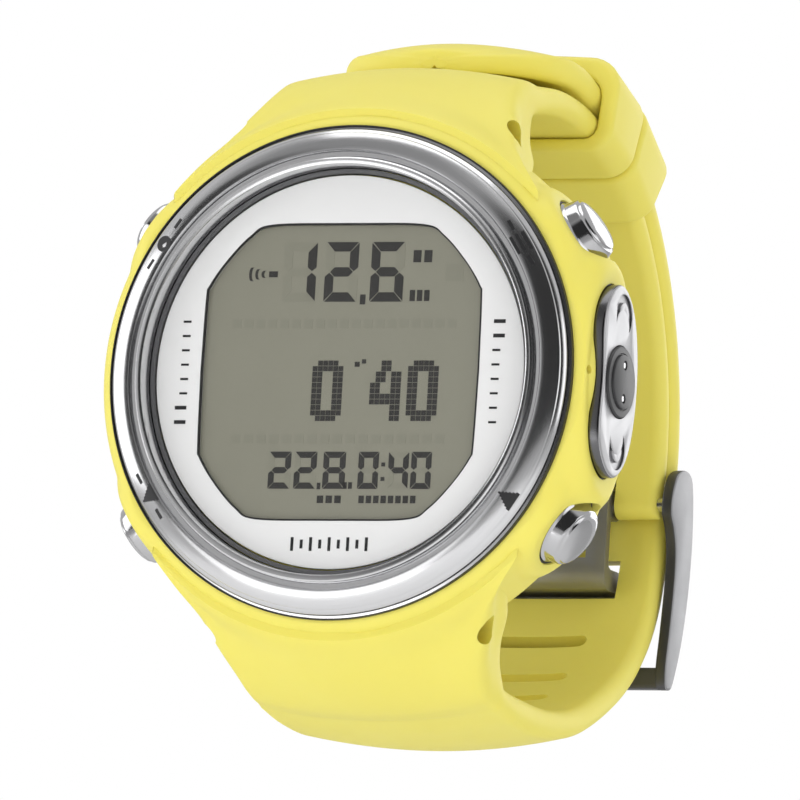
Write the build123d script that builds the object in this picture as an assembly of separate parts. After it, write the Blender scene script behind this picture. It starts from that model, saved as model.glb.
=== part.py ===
# Wrist dive computer: round sealed case, four push buttons, data contact pod and a closed two-part strap.
# Millimetres. +Z points to 12 o'clock, +X to 3 o'clock, the dial faces -Y and the wrist is on +Y.
# The origin is the centre of the flat outer face of the case back.
import os
from math import atan2, cos, degrees, radians, sin, sqrt

from build123d import *

os.makedirs("parts", exist_ok=True)

# ---- driving sizes -------------------------------------------------------------------------------
CASE_DEPTH = 14.0          # bezel outer edge to case back face
CASE_R = 24.0              # widest radius of the case flank
CAVITY_R = 16.8            # inner room of the case
BEZEL_R = 22.0             # outer edge of the bezel
BEZEL_RISE = 1.75          # how far the bezel lip stands in front of its outer edge
DIAL_R = 17.8              # white dial mask
CRYSTAL_T = 1.3
BACK_R = 18.4              # case back plate
COVER_R = 13.4             # battery cover
BATTERY_R = 12.25          # coin cell 24.5 mm across
BATTERY_T = 5.0

STRAP_W = 24.0             # width of both strap halves
STRAP_T = 2.5              # thickness at the strap edge
CROWN = 0.8                # extra thickness in the middle of the inner half
TAIL_CROWN = 1.1           # crown of the long half
LAYER_GAP = 0.15           # air between the two strap layers
LOOP_R = 26.4              # radius of the inside of the closed loop
LOOP_Y = 21.4              # depth of the centre of the loop arc behind the bezel edge

BUTTON_ANGLE = 33.5        # the four buttons stand at this angle from the 3-9 o'clock line
BUTTON_DEPTH = 6.2         # depth of the button axes
BUTTON_R = 3.4
BUTTON_TRAVEL = 0.8
STEM_R = 1.2

PIN_R = 0.9                # lug pins
PIN_DEPTH = 8.0
PIN_Z = 22.6
BUCKLE_PIN_R = 0.75
BUCKLE_PIN_Z = -4.9
CHEEK_T = 1.1              # thickness of the two buckle cheeks

# ---- clearances ----------------------------------------------------------------------------------
FIT = 0.05                 # parts that seat in each other
RUN = 0.04                 # radial running clearance of stems and pins
FREE = 0.15                # loose clearance round trapped parts
KEEPER_GAP = 0.12          # air between the keepers and the strap layers

# ---- derived -------------------------------------------------------------------------------------
HALF_W = STRAP_W / 2
A_IN = LOOP_R
A_OUT = A_IN + STRAP_T
B_IN = A_OUT + LAYER_GAP
B_OUT = B_IN + STRAP_T + 0.1
B_MID = (B_IN + B_OUT) / 2
PATH_ARC = 30.35           # loop radius that LOWER_PATH is drawn for
TAIL_ARC = 31.65           # outside radius of the long half that the tongue is drawn for
LOOP_CENTRE = (0.0, LOOP_Y - CASE_DEPTH, 0.0)
BUCKLE_PIN_ARC = A_IN + STRAP_T / 2
BUCKLE_PIN_Y = LOOP_Y + sqrt(BUCKLE_PIN_ARC ** 2 - BUCKLE_PIN_Z ** 2)
TONGUE_HALF = 7.5
KEEPER_DEG = 13.4
KEEPER_FIXED_FROM = 50.2
KEEPER_FREE_FROM = KEEPER_FIXED_FROM + KEEPER_DEG + 0.3


def y_at(depth):
    """Y of a point this far behind the bezel's outer edge."""
    return depth - CASE_DEPTH


def turned(points):
    """Solid of revolution round the case axis from (radius, depth) corners."""
    corners = [(r, y_at(d)) for r, d in points]
    return revolve(make_face(Polyline(corners + [corners[0]])), Axis.Y)


def side_slab(points, half_width, middle=0.0):
    """Flat slab across X from (depth, z) corners."""
    corners = [(y_at(d), z) for d, z in points]
    face = Plane.YZ.offset(middle) * make_face(Polyline(corners + [corners[0]]))
    return extrude(face, half_width, both=True)


def front_slab(points, depth_from, depth_to):
    """Flat slab along Y from (x, z) corners."""
    plane = Plane(origin=(0, y_at(depth_from), 0), x_dir=(1, 0, 0), z_dir=(0, -1, 0))
    face = plane * make_face(Polyline(list(points) + [points[0]]))
    return extrude(face, -(depth_to - depth_from))


def disc(radius, depth_from, depth_to, x=0.0, z=0.0):
    """Round plate across the case axis."""
    mid = (y_at(depth_from) + y_at(depth_to)) / 2
    return Pos(x, mid, z) * Rot(90, 0, 0) * Cylinder(radius, depth_to - depth_from)


def cross_pin(radius, half_length, depth, z, x=0.0):
    """Round bar along X."""
    return Pos(x, y_at(depth), z) * Rot(0, 90, 0) * Cylinder(radius, 2 * half_length)


def block(x0, x1, d0, d1, z0, z1):
    """Box from its limits in X, depth and Z."""
    size = (x1 - x0, d1 - d0, z1 - z0)
    return Pos((x0 + x1) / 2, y_at((d0 + d1) / 2), (z0 + z1) / 2) * Box(*size)


# ---- strap sections ------------------------------------------------------------------------------
def bowed(half, r, crown):
    """Line across the strap at this radius, bowed out in its middle."""
    if crown == 0:
        return Line((-half, r), (half, r))
    return ThreePointArc((-half, r), (0, r + crown), (half, r))


def strap_section(r_in, r_out, crown_in, crown_out):
    """Strap cross-section in the plane of X and radius, centred on the loop centre."""
    edge = 0.9
    low = bowed(HALF_W - edge, r_in, crown_in)
    right = Spline(
        (HALF_W - edge, r_in), (HALF_W, (r_in + r_out) / 2), (HALF_W - edge, r_out),
        tangents=[(1, 0), (-1, 0)],
    )
    top = bowed(HALF_W - edge, r_out, crown_out)
    left = Spline(
        (-HALF_W + edge, r_out), (-HALF_W, (r_in + r_out) / 2), (-HALF_W + edge, r_in),
        tangents=[(-1, 0), (1, 0)],
    )
    return make_face([low, right, top, left])


def arc_solid(section, deg_from, deg_to):
    """Turns an (x, radius) section round the loop axis between two angles, 0 being straight back."""
    a = radians(deg_from)
    plane = Plane(origin=LOOP_CENTRE, x_dir=(1, 0, 0), z_dir=(0, -sin(a), cos(a)))
    face = plane * section
    axis = Axis(LOOP_CENTRE, (1, 0, 0))
    return revolve(face, axis, deg_to - deg_from)


# ---- case ----------------------------------------------------------------------------------------
CASE_OUTLINE = [
    (22.4, 0.6), (CASE_R - 0.6, 1.3), (CASE_R, 3.0), (CASE_R, 8.4), (CASE_R - 0.8, 11.0), (21.0, 13.3),
    (19.4, 13.6),
]
STRAP_SEAT = 4.6           # depth where the strap seat starts behind the case shoulder
SEAT_Z = 19.4


def button_plane(angle):
    a = radians(angle)
    return Plane(origin=(0, y_at(BUTTON_DEPTH), 0), x_dir=(0, 1, 0), z_dir=(cos(a), 0, sin(a)))


def on_button(angle, radius, r_from, r_to):
    """Round bar along a button axis between two distances from the case axis."""
    return button_plane(angle) * Pos(0, 0, (r_from + r_to) / 2) * Cylinder(radius, r_to - r_from)


def pod_outline(grow=0.0):
    """Outline of the contact pod: depth against z, pinched on its front side."""
    half = [
        (6.0, 8.7), (8.4, 7.3), (9.9, 4.4), (10.5, 0.0), (9.9, -4.4), (8.4, -7.3), (6.0, -8.7),
        (3.5, -7.7), (2.0, -5.0), (2.3, 0.0), (2.0, 5.0), (3.5, 7.7),
    ]
    out = []
    for d, z in half:
        length = sqrt((d - 6.0) ** 2 + z ** 2)
        k = (length + grow) / length
        out.append((6.0 + (d - 6.0) * k, z * k))
    return out


def pod_solid(x_from, x_to, grow=0.0):
    points = [(y_at(d), z) for d, z in pod_outline(grow)]
    face = Plane.YZ.offset(x_from) * make_face(Spline(*points, periodic=True))
    return extrude(face, x_to - x_from)


def knuckle(grow, sign):
    """Case lug hidden inside the strap end, carrying the lug pin."""
    body = cross_pin(2.1 + grow, 9.5 + grow, PIN_DEPTH, sign * PIN_Z)
    z0, z1 = sorted((sign * (SEAT_Z - 0.5), sign * PIN_Z))
    web = block(-9.5 - grow, 9.5 + grow, PIN_DEPTH - 2.1 - grow, PIN_DEPTH + 2.1 + grow, z0, z1)
    return body + web


def case_body():
    outer = turned([(16.8, 0.6)] + CASE_OUTLINE + [(16.8, 13.6)])
    outer += turned([(0, 0.6), (17.5, 0.6), (17.5, 13.6), (0, 13.6)])
    for angle in (BUTTON_ANGLE, -BUTTON_ANGLE, 180 - BUTTON_ANGLE, 180 + BUTTON_ANGLE):
        boss = Cone(5.4, 4.45, 5.6)
        outer += button_plane(angle) * Pos(0, 0, 18.6 + 2.8) * boss
    outer += pod_solid(19.0, 23.5, 0.7)
    for sign in (1, -1):
        z0, z1 = sorted((sign * SEAT_Z, sign * 34.0))
        outer -= block(-21.0, 21.0, STRAP_SEAT, 15.0, z0, z1)
        outer += knuckle(0.0, sign)
        outer -= cross_pin(PIN_R + RUN, 12.0, PIN_DEPTH, sign * PIN_Z)
    # ledge for dial and crystal, main room, back plate seat
    outer -= disc(DIAL_R + 0.1 + 0.55, 0.0, 1.1)
    outer -= disc(CAVITY_R, 0.5, 14.5)
    outer -= disc(BACK_R + FIT, 12.0, 14.5)
    for angle in (BUTTON_ANGLE, -BUTTON_ANGLE, 180 - BUTTON_ANGLE, 180 + BUTTON_ANGLE):
        outer -= on_button(angle, BUTTON_R + FREE, 22.6, 30.0)
        outer -= on_button(angle, 2.3, 20.9, 23.0)
        outer -= on_button(angle, STEM_R + RUN, 15.0, 24.0)
    outer -= pod_solid(22.5, 25.0, FIT)
    for x, z in screw_places():
        outer -= disc(0.75, 11.0, 12.5, x, z)
    return outer


def screw_places():
    return [(17.2 * cos(radians(a)), 17.2 * sin(radians(a))) for a in (45, 135, 225, 315)]


def bezel_ring():
    return turned([
        (18.45, -BEZEL_RISE + 0.15), (18.6, -BEZEL_RISE), (19.0, -BEZEL_RISE), (19.2, -BEZEL_RISE + 0.2),
        (19.25, -1.2), (19.8, -1.2), (19.85, -1.45), (21.6, -0.55), (BEZEL_R, -0.15), (BEZEL_R, 0.0),
        (22.3, 0.1), (22.3, 0.55), (18.45, 0.55),
    ])


def crystal():
    body = disc(18.3, -CRYSTAL_T, -0.1)
    return chamfer(body.edges().group_by(Axis.Y)[0], 0.25)


def crystal_gasket():
    return turned([(DIAL_R + 0.15, -0.05), (18.35, -0.05), (18.35, 1.0), (DIAL_R + 0.15, 1.0)])


def window_outline(scale=1.0):
    """Display window: rounded octagon, as (x, z)."""
    return [
        (7.6 * scale, 13.2 * scale), (13.3 * scale, 7.5 * scale), (13.3 * scale, -7.5 * scale),
        (7.6 * scale, -13.2 * scale), (-7.6 * scale, -13.2 * scale), (-13.3 * scale, -7.5 * scale),
        (-13.3 * scale, 7.5 * scale), (-7.6 * scale, 13.2 * scale),
    ]


def dial_mask():
    plate = disc(DIAL_R, 0.0, 0.4)
    return plate - front_slab(window_outline(), -1.0, 2.0)


def lcd_panel():
    return front_slab(window_outline(1.05), 0.5, 2.3)


def backlight():
    return front_slab(window_outline(1.0), 2.4, 2.9)


def circuit_board():
    board = disc(15.4, 3.2, 4.2)
    board -= block(-16.0, 16.0, 3.0, 4.4, 14.2, 16.0)
    return board


def board_chips():
    """Processor, memory and radio packages on the back of the board, round the coin cell."""
    places = [(-3.0, 13.0, 2.2, 1.2), (5.5, 12.6, 1.6, 1.1), (0.0, -13.3, 2.4, 0.9)]
    chips = [block(x - w, x + w, 4.25, 5.1, z - min(h, 0.9), z + min(h, 0.9)) for x, z, w, h in places]
    return Compound(children=chips)


def battery():
    body = disc(BATTERY_R, 5.6, 5.6 + BATTERY_T - 0.5)
    body += disc(BATTERY_R - 1.4, 5.4, 5.7)
    return body


def battery_contact():
    strip = side_slab([(4.25, -4.0), (4.55, -4.0), (5.35, 3.6), (5.35, 4.0), (5.1, 4.0)], 1.6)
    return strip


def pressure_sensor():
    return disc(1.7, 8.6, 11.2, 0.0, 14.6) + disc(1.1, 7.6, 8.7, 0.0, 14.6)


def buzzer():
    return disc(1.7, 4.25, 7.0, 14.4, 0.0)


def case_back():
    plate = disc(BACK_R, 12.05, CASE_DEPTH)
    plate -= disc(COVER_R + FIT, 11.0, 15.0)
    plate = chamfer(plate.edges().filter_by(GeomType.CIRCLE).sort_by(SortBy.RADIUS)[-1], 0.3)
    for x, z in screw_places():
        plate -= disc(0.75, 11.0, 15.0, x, z)
        plate -= disc(1.15, 13.3, 15.0, x, z)
    for x in (-1.2, 0.0, 1.2):
        plate -= disc(0.4, 11.0, 15.0, x, 15.3)
    return plate


def case_back_screws():
    screws = []
    for x, z in screw_places():
        body = disc(0.70, 11.2, 13.35, x, z) + disc(1.05, 13.3, 13.8, x, z)
        body -= block(x - 0.75, x + 0.75, 13.6, 14.0, z - 0.14, z + 0.14)
        screws.append(body)
    return Compound(children=screws)


def case_back_gasket():
    return turned([(14.6, 11.65), (15.6, 11.65), (15.6, 12.0), (14.6, 12.0)])


def battery_cover():
    cover = disc(COVER_R, 12.3, CASE_DEPTH)
    cover += disc(12.9, 11.0, 12.5)
    for x in (-8.5, 8.5):
        cover -= disc(0.9, 13.0, 15.0, x, 0.0)
    cover -= turned([(12.55, 11.4), (13.2, 11.4), (13.2, 12.0), (12.55, 12.0)])
    return cover


def battery_cover_oring():
    return turned([(12.6, 11.45), (13.3, 11.45), (13.3, 11.95), (12.6, 11.95)])


# ---- buttons -------------------------------------------------------------------------------------
def button(angle):
    """Coned steel cap with a slightly domed end on a round stem."""
    half = [
        (0, 15.7), (STEM_R - 0.35, 15.7), (STEM_R - 0.35, 16.2), (STEM_R, 16.2), (STEM_R, 18.9),
        (STEM_R - 0.3, 18.9), (STEM_R - 0.3, 19.7), (STEM_R, 19.7), (STEM_R, 23.6), (BUTTON_R, 23.6),
        (BUTTON_R, 24.3), (2.8, 25.5), (2.5, 25.8), (1.4, 26.02), (0, 26.1),
    ]
    face = Plane.XZ * make_face(Polyline(half + [half[0]]))
    return button_plane(angle) * revolve(face, Axis.Z)


def button_seal(angle):
    ring = Cylinder(STEM_R + RUN - 0.01, 0.6) - Cylinder(STEM_R - 0.28, 0.6)
    return button_plane(angle) * Pos(0, 0, 19.3) * ring


def button_clip(angle):
    ring = Cylinder(1.75, 0.35) - Cylinder(STEM_R - 0.33, 0.35)
    return button_plane(angle) * Pos(0, 0, 15.95) * ring


def button_spring(angle):
    """Coil spring drawn at its pressed length, standing in the pocket under the cap."""
    coil = Helix(pitch=0.55, height=1.25, radius=1.75)
    wire = sweep(Plane(origin=coil @ 0, z_dir=coil % 0) * Circle(0.19), path=coil)
    return button_plane(angle) * Pos(0, 0, 21.12) * wire


# ---- contact pod ---------------------------------------------------------------------------------
POD_FACE_X = 24.6
CONTACT_R = 3.2


def contact_plate():
    plate = pod_solid(22.55, POD_FACE_X)
    plate -= Pos(24.0, y_at(6.2), 0) * Rot(0, 90, 0) * Cylinder(CONTACT_R + FIT, 2.4)
    for sign in (1, -1):
        plate -= Pos(24.55, y_at(6.0), sign * 6.1) * Rot(0, 90, 0) * Cylinder(1.25, 0.5)
    return plate


def contact_disc():
    body = Pos(23.8, y_at(6.2), 0) * Rot(0, 90, 0) * Cylinder(CONTACT_R, 1.9)
    body += Pos(24.85, y_at(6.2), 0) * Rot(0, 90, 0) * Cylinder(2.45, 0.3)
    for sign in (1, -1):
        body -= Pos(24.6, y_at(6.2), sign * 1.5) * Rot(0, 90, 0) * Cylinder(0.42, 1.4)
    return body


def contact_pins():
    pins = [Pos(24.42, y_at(6.2), s * 1.5) * Rot(0, 90, 0) * Cylinder(0.4, 0.95) for s in (1, -1)]
    return Compound(children=pins)


# ---- strap ---------------------------------------------------------------------------------------
def lug_pin(sign):
    pin = cross_pin(PIN_R, 11.6, PIN_DEPTH, sign * PIN_Z)
    for side in (1, -1):
        pin += cross_pin(PIN_R - 0.35, 0.5, PIN_DEPTH, sign * PIN_Z, side * 12.0)
    return pin


ROOT_TOP = [(1.3, 23.6), (2.4, 24.6), (4.6, 25.8), (7.6, 27.0), (11.0, 28.1), (14.4, 28.9)]
ROOT_UNDER = [(14.4, 26.0), (13.3, 25.3), (12.5, 24.0), (12.4, SEAT_Z - 0.4)]
ROOT_FLANK = [(18.9, 15.6), (17.2, 18.4), (15.2, 21.2), (13.6, 23.6), (12.5, 25.9), (11.0, 27.6), (8.2, 29.2)]
ROOT_SWELL = [(1.3, 24.1), (2.2, 25.4), (4.0, 26.9), (8.0, 29.2), (12.0, 31.5), (15.0, 34.0)]


def case_envelope():
    """Case volume kept clear by the strap ends, with its strap seats open."""
    grown = [(r + FIT, d) for r, d in CASE_OUTLINE[1:]]
    env = turned([(0, -1.0), (CASE_R - 0.8 + FIT, -1.0)] + grown + [(BACK_R, 15.0), (0, 15.0)])
    for sign in (1, -1):
        z0, z1 = sorted((sign * (SEAT_Z + FIT), sign * 34.0))
        env -= block(-21.0, 21.0, STRAP_SEAT + FIT, 16.0, z0, z1)
        env += knuckle(0.06, sign)
    for angle in (BUTTON_ANGLE, -BUTTON_ANGLE, 180 - BUTTON_ANGLE, 180 + BUTTON_ANGLE):
        env += on_button(angle, 5.45 + FIT, 16.0, 25.0)
    return env


def strap_root(sign, envelope):
    """Flared strap end that wraps the case shoulder and hides the lug."""
    top = [(0, y_at(d), sign * z) for d, z in ROOT_TOP]
    under = [(0, y_at(d), sign * z) for d, z in ROOT_UNDER]
    low = (0, y_at(ROOT_UNDER[-1][0]), sign * 15.0)
    lip = (0, y_at(ROOT_TOP[0][0]), sign * 15.0)
    side = make_face([Spline(*top), Polyline(top[-1], *under, low, lip, top[0])])
    root = extrude(side, 20.0, both=True, dir=(1, 0, 0))
    flank = [(x, y_at(0), sign * z) for x, z in ROOT_FLANK]
    other = [(-x, y, z) for x, y, z in flank]
    crest = ThreePointArc(flank[-1], (0, y_at(0), sign * 30.9), other[-1])
    foot = Line(other[0], flank[0])
    front = make_face([Spline(*flank), crest, Spline(*other), foot])
    root &= extrude(front, 20.5, dir=(0, 1, 0))
    root &= turned([(0, ROOT_SWELL[0][0])] + [(r, d) for d, r in ROOT_SWELL] + [(0, ROOT_SWELL[-1][0])])
    root -= envelope
    root -= cross_pin(PIN_R + RUN, 20.0, PIN_DEPTH, sign * PIN_Z)
    return largest(root)


def largest(shape):
    return sorted(shape.solids(), key=lambda s: s.volume)[-1]


def strap_upper(envelope):
    """Short half: from the 12 o'clock lug over the wrist to the buckle pin."""
    section = strap_section(A_IN, A_OUT, 0.0, CROWN)
    pin_deg = degrees(atan2(BUCKLE_PIN_Z, BUCKLE_PIN_Y - LOOP_Y))
    band = arc_solid(section, pin_deg, 107.0)
    root = strap_root(1, envelope)
    eye = cross_pin(STRAP_T / 2 + 0.05, HALF_W - 0.3, BUCKLE_PIN_Y, BUCKLE_PIN_Z)
    half = band + root + eye
    half -= cross_pin(BUCKLE_PIN_R + RUN, HALF_W + 2, BUCKLE_PIN_Y, BUCKLE_PIN_Z)
    notch = TONGUE_HALF + 0.3
    low, high = BUCKLE_PIN_Z - 3, BUCKLE_PIN_Z + 2.2
    half -= block(-notch, notch, BUCKLE_PIN_Y - 4, BUCKLE_PIN_Y + 4, low, high)
    return largest(half)


LOWER_PATH = [
    (-9.8, -26.7), (-7.4, -27.5), (-3.16, -28.2), (2.67, -28.4), (9.14, -27.2), (14.65, -25.0), (20.8, -21.3),
    (24.8, -17.6), (27.1, -14.4), (28.5, -11.0), (29.6, -6.4), (30.24, -2.6),
]


def lower_path():
    """Middle line of the long half, from the back of the loop to its lug; a thicker strap pushes it outwards."""
    points = [(0, y_at(LOOP_Y + B_MID), 0)]
    count = len(LOWER_PATH)
    for k, (d, z) in enumerate(reversed(LOWER_PATH)):
        push = 1 + (B_MID - PATH_ARC) * (count - k) / count / sqrt(d ** 2 + z ** 2)
        points.append((0, y_at(LOOP_Y + d * push), z * push))
    return Spline(*points, tangents=[(0, 0, -1), (0, -1, 0.4)])


def strap_lower(envelope):
    """Long half: from the 6 o'clock lug through the buckle and keepers to its rounded tip."""
    section = strap_section(B_IN, B_OUT, CROWN, TAIL_CROWN)
    tail = arc_solid(section, 0.0, 96.5)
    tail &= tip_outline()
    path = lower_path()
    start = Plane(origin=path @ 0, x_dir=(1, 0, 0), z_dir=path % 0)
    # the section plane's second direction points out of the loop
    flat = strap_section(B_IN - B_MID, B_OUT - B_MID, CROWN, TAIL_CROWN)
    if start.y_dir.Y < 0:
        flat = Rot(0, 0, 180) * flat
    band = sweep(start * flat, path=path)
    root = strap_root(-1, envelope)
    half = band + root + tail
    for depth, z, lean in slot_places():
        half -= slot_cutter(depth, z, lean, 0.75)
    half -= tongue_slot()
    return largest(half)


def tongue_slot():
    """The slot in use, pulled open by the tongue."""
    reach = TONGUE_HALF + 0.4
    return block(-reach, reach, LOOP_Y + 24.4, LOOP_Y + 33.0, -13.5, -9.9)


def slot_places():
    """Depth, z and lean of each adjusting slot that is not in use."""
    drawn = [(22.9, -19.7, 42.0), (18.1, -23.3, 56.0), (12.7, -26.1, 66.0), (29.9, -5.2, 6.0)]
    out = [(LOOP_Y + d, z, lean) for d, z, lean in drawn]
    for deg in (2.0, 12.5, 23.0, 33.5):
        a = radians(deg)
        out.append((LOOP_Y + B_MID * cos(a), B_MID * sin(a), -deg))
    return out


def slot_cutter(depth, z, lean, half_height):
    """Wide slot with round ends through the strap thickness; lean turns it below the horizontal."""
    bar = Box(2 * (7.9 - half_height), 9.0, 2 * half_height)
    for side in (1, -1):
        end = Pos(side * (7.9 - half_height), 0, 0) * Rot(90, 0, 0) * Cylinder(half_height, 9.0)
        bar += end
    return Pos(0, y_at(depth), z) * Rot(-lean, 0, 0) * bar


def tip_outline():
    """Keeps the tail inside a rounded tip seen from above the strap."""
    inset = [(-1.0, 60.0), (-1.0, 25.5), (0.6, 22.4), (2.6, 19.2), (6.0, 16.6), (HALF_W, 15.6)]
    right = [(HALF_W - x, y_at(d)) for x, d in inset]
    line = right + [(-x, y) for x, y in reversed(right[:-1])]
    return extrude(make_face(Polyline(line + [line[0]])), 40)


# ---- keepers and buckle --------------------------------------------------------------------------
KEEPER_WALL = 1.55
KEEPER_X = HALF_W + KEEPER_GAP + KEEPER_WALL


def keeper(deg_from):
    """Closed band round both strap layers."""
    top = B_OUT + TAIL_CROWN + KEEPER_GAP
    low = A_IN - KEEPER_GAP
    outer_h = (top + KEEPER_WALL) - (low - 1.2)
    outer = Pos(0, (top + KEEPER_WALL + low - 1.2) / 2) * RectangleRounded(2 * KEEPER_X, outer_h, 2.2)
    inner = Pos(0, (top + low) / 2) * RectangleRounded(2 * (HALF_W + KEEPER_GAP), top - low, 0.6)
    return arc_solid(outer - inner, deg_from, deg_from + KEEPER_DEG)


CHEEK_SIDE = [
    (26.4, -3.2), (27.3, -1.9), (29, -1.35), (30.6, -1.9), (31.2, -4.0), (31.55, -8.5), (31.15, -13.0),
    (30.3, -17.0), (29.3, -19.8), (28.3, -21.9), (26.8, -21.9), (26.6, -19.6), (27.1, -16.5), (27.7, -12.0),
    (27.7, -9.0), (27, -7.0), (26, -5.8), (25.9, -4.4),
]
BAR_SIDE = [(26.9, -19.8), (28.4, -19.8), (28.6, -21.2), (28.0, -21.9), (26.8, -21.9)]
CHEEK_X = HALF_W + 0.45


def behind(points, push=0.0):
    """(depth, z) corners from ones drawn behind the loop centre; push moves the ones outside the strap out."""
    return [(LOOP_Y + d + (push if d > 28.4 or z < -19.0 else 0.0), z) for d, z in points]


def buckle_frame():
    frame = None
    for side in (1, -1):
        cheek = side_slab(behind(CHEEK_SIDE, B_OUT - TAIL_ARC), CHEEK_T / 2, side * (CHEEK_X + CHEEK_T / 2))
        frame = cheek if frame is None else frame + cheek
    frame += side_slab(behind(BAR_SIDE, B_OUT - TAIL_ARC), CHEEK_X + 0.1)
    frame -= cross_pin(BUCKLE_PIN_R + RUN, 20.0, BUCKLE_PIN_Y, BUCKLE_PIN_Z)
    return largest(frame)


def buckle_pin():
    return cross_pin(BUCKLE_PIN_R, CHEEK_X + CHEEK_T - 0.1, BUCKLE_PIN_Y, BUCKLE_PIN_Z)


TONGUE_SIDE = [
    (25.15, -5.2), (25.15, -11.4), (25.6, -12.5), (26.7, -12.9), (30.7, -12.9), (30, -16.5), (28.85, -19.6),
    (28.75, -21.4), (29.55, -21.6), (29.9, -19.8), (31, -16.8), (31.75, -12.6), (31.6, -11.5), (30.8, -10.9),
    (26.8, -10.9), (26.15, -10.3), (26.15, -5.2),
]


def buckle_tongue():
    """Plate on the pin that goes through a slot and lies down outside the strap."""
    plate = side_slab(behind(TONGUE_SIDE, B_OUT - TAIL_ARC), TONGUE_HALF)
    plate -= block(-5.6, 5.6, LOOP_Y + 24.4, LOOP_Y + 26.5, -10.0, -6.6)
    plate += cross_pin(2 * BUCKLE_PIN_R, TONGUE_HALF, BUCKLE_PIN_Y, BUCKLE_PIN_Z)
    plate += block(-TONGUE_HALF, TONGUE_HALF, LOOP_Y + 25.15, BUCKLE_PIN_Y, -6.2, BUCKLE_PIN_Z + 1.2)
    plate -= cross_pin(BUCKLE_PIN_R + RUN, 20.0, BUCKLE_PIN_Y, BUCKLE_PIN_Z)
    outer_cut = block(-TONGUE_HALF - 1, -4.2, LOOP_Y + 28.4, LOOP_Y + 34.4, -22.0, -14.6)
    plate -= outer_cut
    plate -= mirror(outer_cut, about=Plane.YZ)
    return largest(plate)


# ---- write every part ----------------------------------------------------------------------------
BUTTONS = {
    "mode": BUTTON_ANGLE,
    "up": -BUTTON_ANGLE,
    "select": 180 - BUTTON_ANGLE,
    "down": 180 + BUTTON_ANGLE,
}

envelope = case_envelope()
parts = {
    "case_body": case_body(),
    "bezel_ring": bezel_ring(),
    "crystal": crystal(),
    "crystal_gasket": crystal_gasket(),
    "dial_mask": dial_mask(),
    "lcd_panel": lcd_panel(),
    "backlight": backlight(),
    "circuit_board": circuit_board(),
    "board_chips": board_chips(),
    "battery": battery(),
    "battery_contact": battery_contact(),
    "pressure_sensor": pressure_sensor(),
    "buzzer": buzzer(),
    "case_back": case_back(),
    "case_back_gasket": case_back_gasket(),
    "case_back_screws": case_back_screws(),
    "battery_cover": battery_cover(),
    "battery_cover_oring": battery_cover_oring(),
    "contact_plate": contact_plate(),
    "contact_disc": contact_disc(),
    "contact_pins": contact_pins(),
    "lug_pin_upper": lug_pin(1),
    "lug_pin_lower": lug_pin(-1),
    "strap_upper": strap_upper(envelope),
    "strap_lower": strap_lower(envelope),
    "keeper_fixed": keeper(KEEPER_FIXED_FROM),
    "keeper_free": keeper(KEEPER_FREE_FROM),
    "buckle_frame": buckle_frame(),
    "buckle_pin": buckle_pin(),
    "buckle_tongue": buckle_tongue(),
}
for name, angle in BUTTONS.items():
    parts["button_" + name] = button(angle)
    parts["button_seal_" + name] = button_seal(angle)
    parts["button_clip_" + name] = button_clip(angle)
    parts["button_spring_" + name] = button_spring(angle)

for node, shape in parts.items():
    export_step(shape, "parts/" + node + ".step")
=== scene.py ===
from math import cos, hypot, pi, radians, sin, sqrt

import bmesh
import bpy
from mathutils import Matrix, Vector


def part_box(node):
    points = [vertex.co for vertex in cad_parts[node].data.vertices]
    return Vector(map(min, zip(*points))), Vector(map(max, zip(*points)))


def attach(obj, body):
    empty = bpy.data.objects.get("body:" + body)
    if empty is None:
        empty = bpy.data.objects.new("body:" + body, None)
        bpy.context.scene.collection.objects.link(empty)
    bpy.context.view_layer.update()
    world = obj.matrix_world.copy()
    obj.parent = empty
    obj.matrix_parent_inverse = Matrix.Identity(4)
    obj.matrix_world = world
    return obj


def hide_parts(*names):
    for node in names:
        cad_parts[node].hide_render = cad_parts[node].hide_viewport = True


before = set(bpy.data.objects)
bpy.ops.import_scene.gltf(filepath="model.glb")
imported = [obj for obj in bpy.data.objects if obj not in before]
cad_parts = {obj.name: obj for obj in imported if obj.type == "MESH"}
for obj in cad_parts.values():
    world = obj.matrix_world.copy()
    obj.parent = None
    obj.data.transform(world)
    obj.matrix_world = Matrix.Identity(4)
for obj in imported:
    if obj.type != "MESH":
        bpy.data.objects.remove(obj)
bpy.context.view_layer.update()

# ---- sizes, in millimetres: x to 3 o'clock, depth behind the bezel's outer edge, z to 12 o'clock ----
MM = 0.001
CASE_DEPTH = 14.0
BEZEL_R = 22.0
BEZEL_RISE = -(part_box("bezel_ring")[0][1] / MM + CASE_DEPTH)
DIAL_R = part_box("dial_mask")[1][0] / MM
HALF_W = 12.0                # half the strap width
LOOP_DEPTH = 21.4            # centre of the closed loop
A_MID = 27.65                # middle of the inner strap layer, as a radius about the loop centre
B_MID = 30.35                # middle of the outer strap layer
BUTTON_ANGLE = 33.5
BUTTON_DEPTH = 6.2
PIN_DEPTH, PIN_Z = 8.0, 22.6
BUCKLE_PIN_Z = -4.9
BUCKLE_PIN_DEPTH = LOOP_DEPTH + sqrt(A_MID ** 2 - BUCKLE_PIN_Z ** 2)
TONGUE_HALF = 7.5
POD_X, POD_DEPTH = 23.5, 6.2
BUTTONS = {"mode": BUTTON_ANGLE, "up": -BUTTON_ANGLE, "select": 180 - BUTTON_ANGLE, "down": 180 + BUTTON_ANGLE}


def place(x, depth, z):
    return Vector((x * MM, (depth - CASE_DEPTH) * MM, z * MM))


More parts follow.
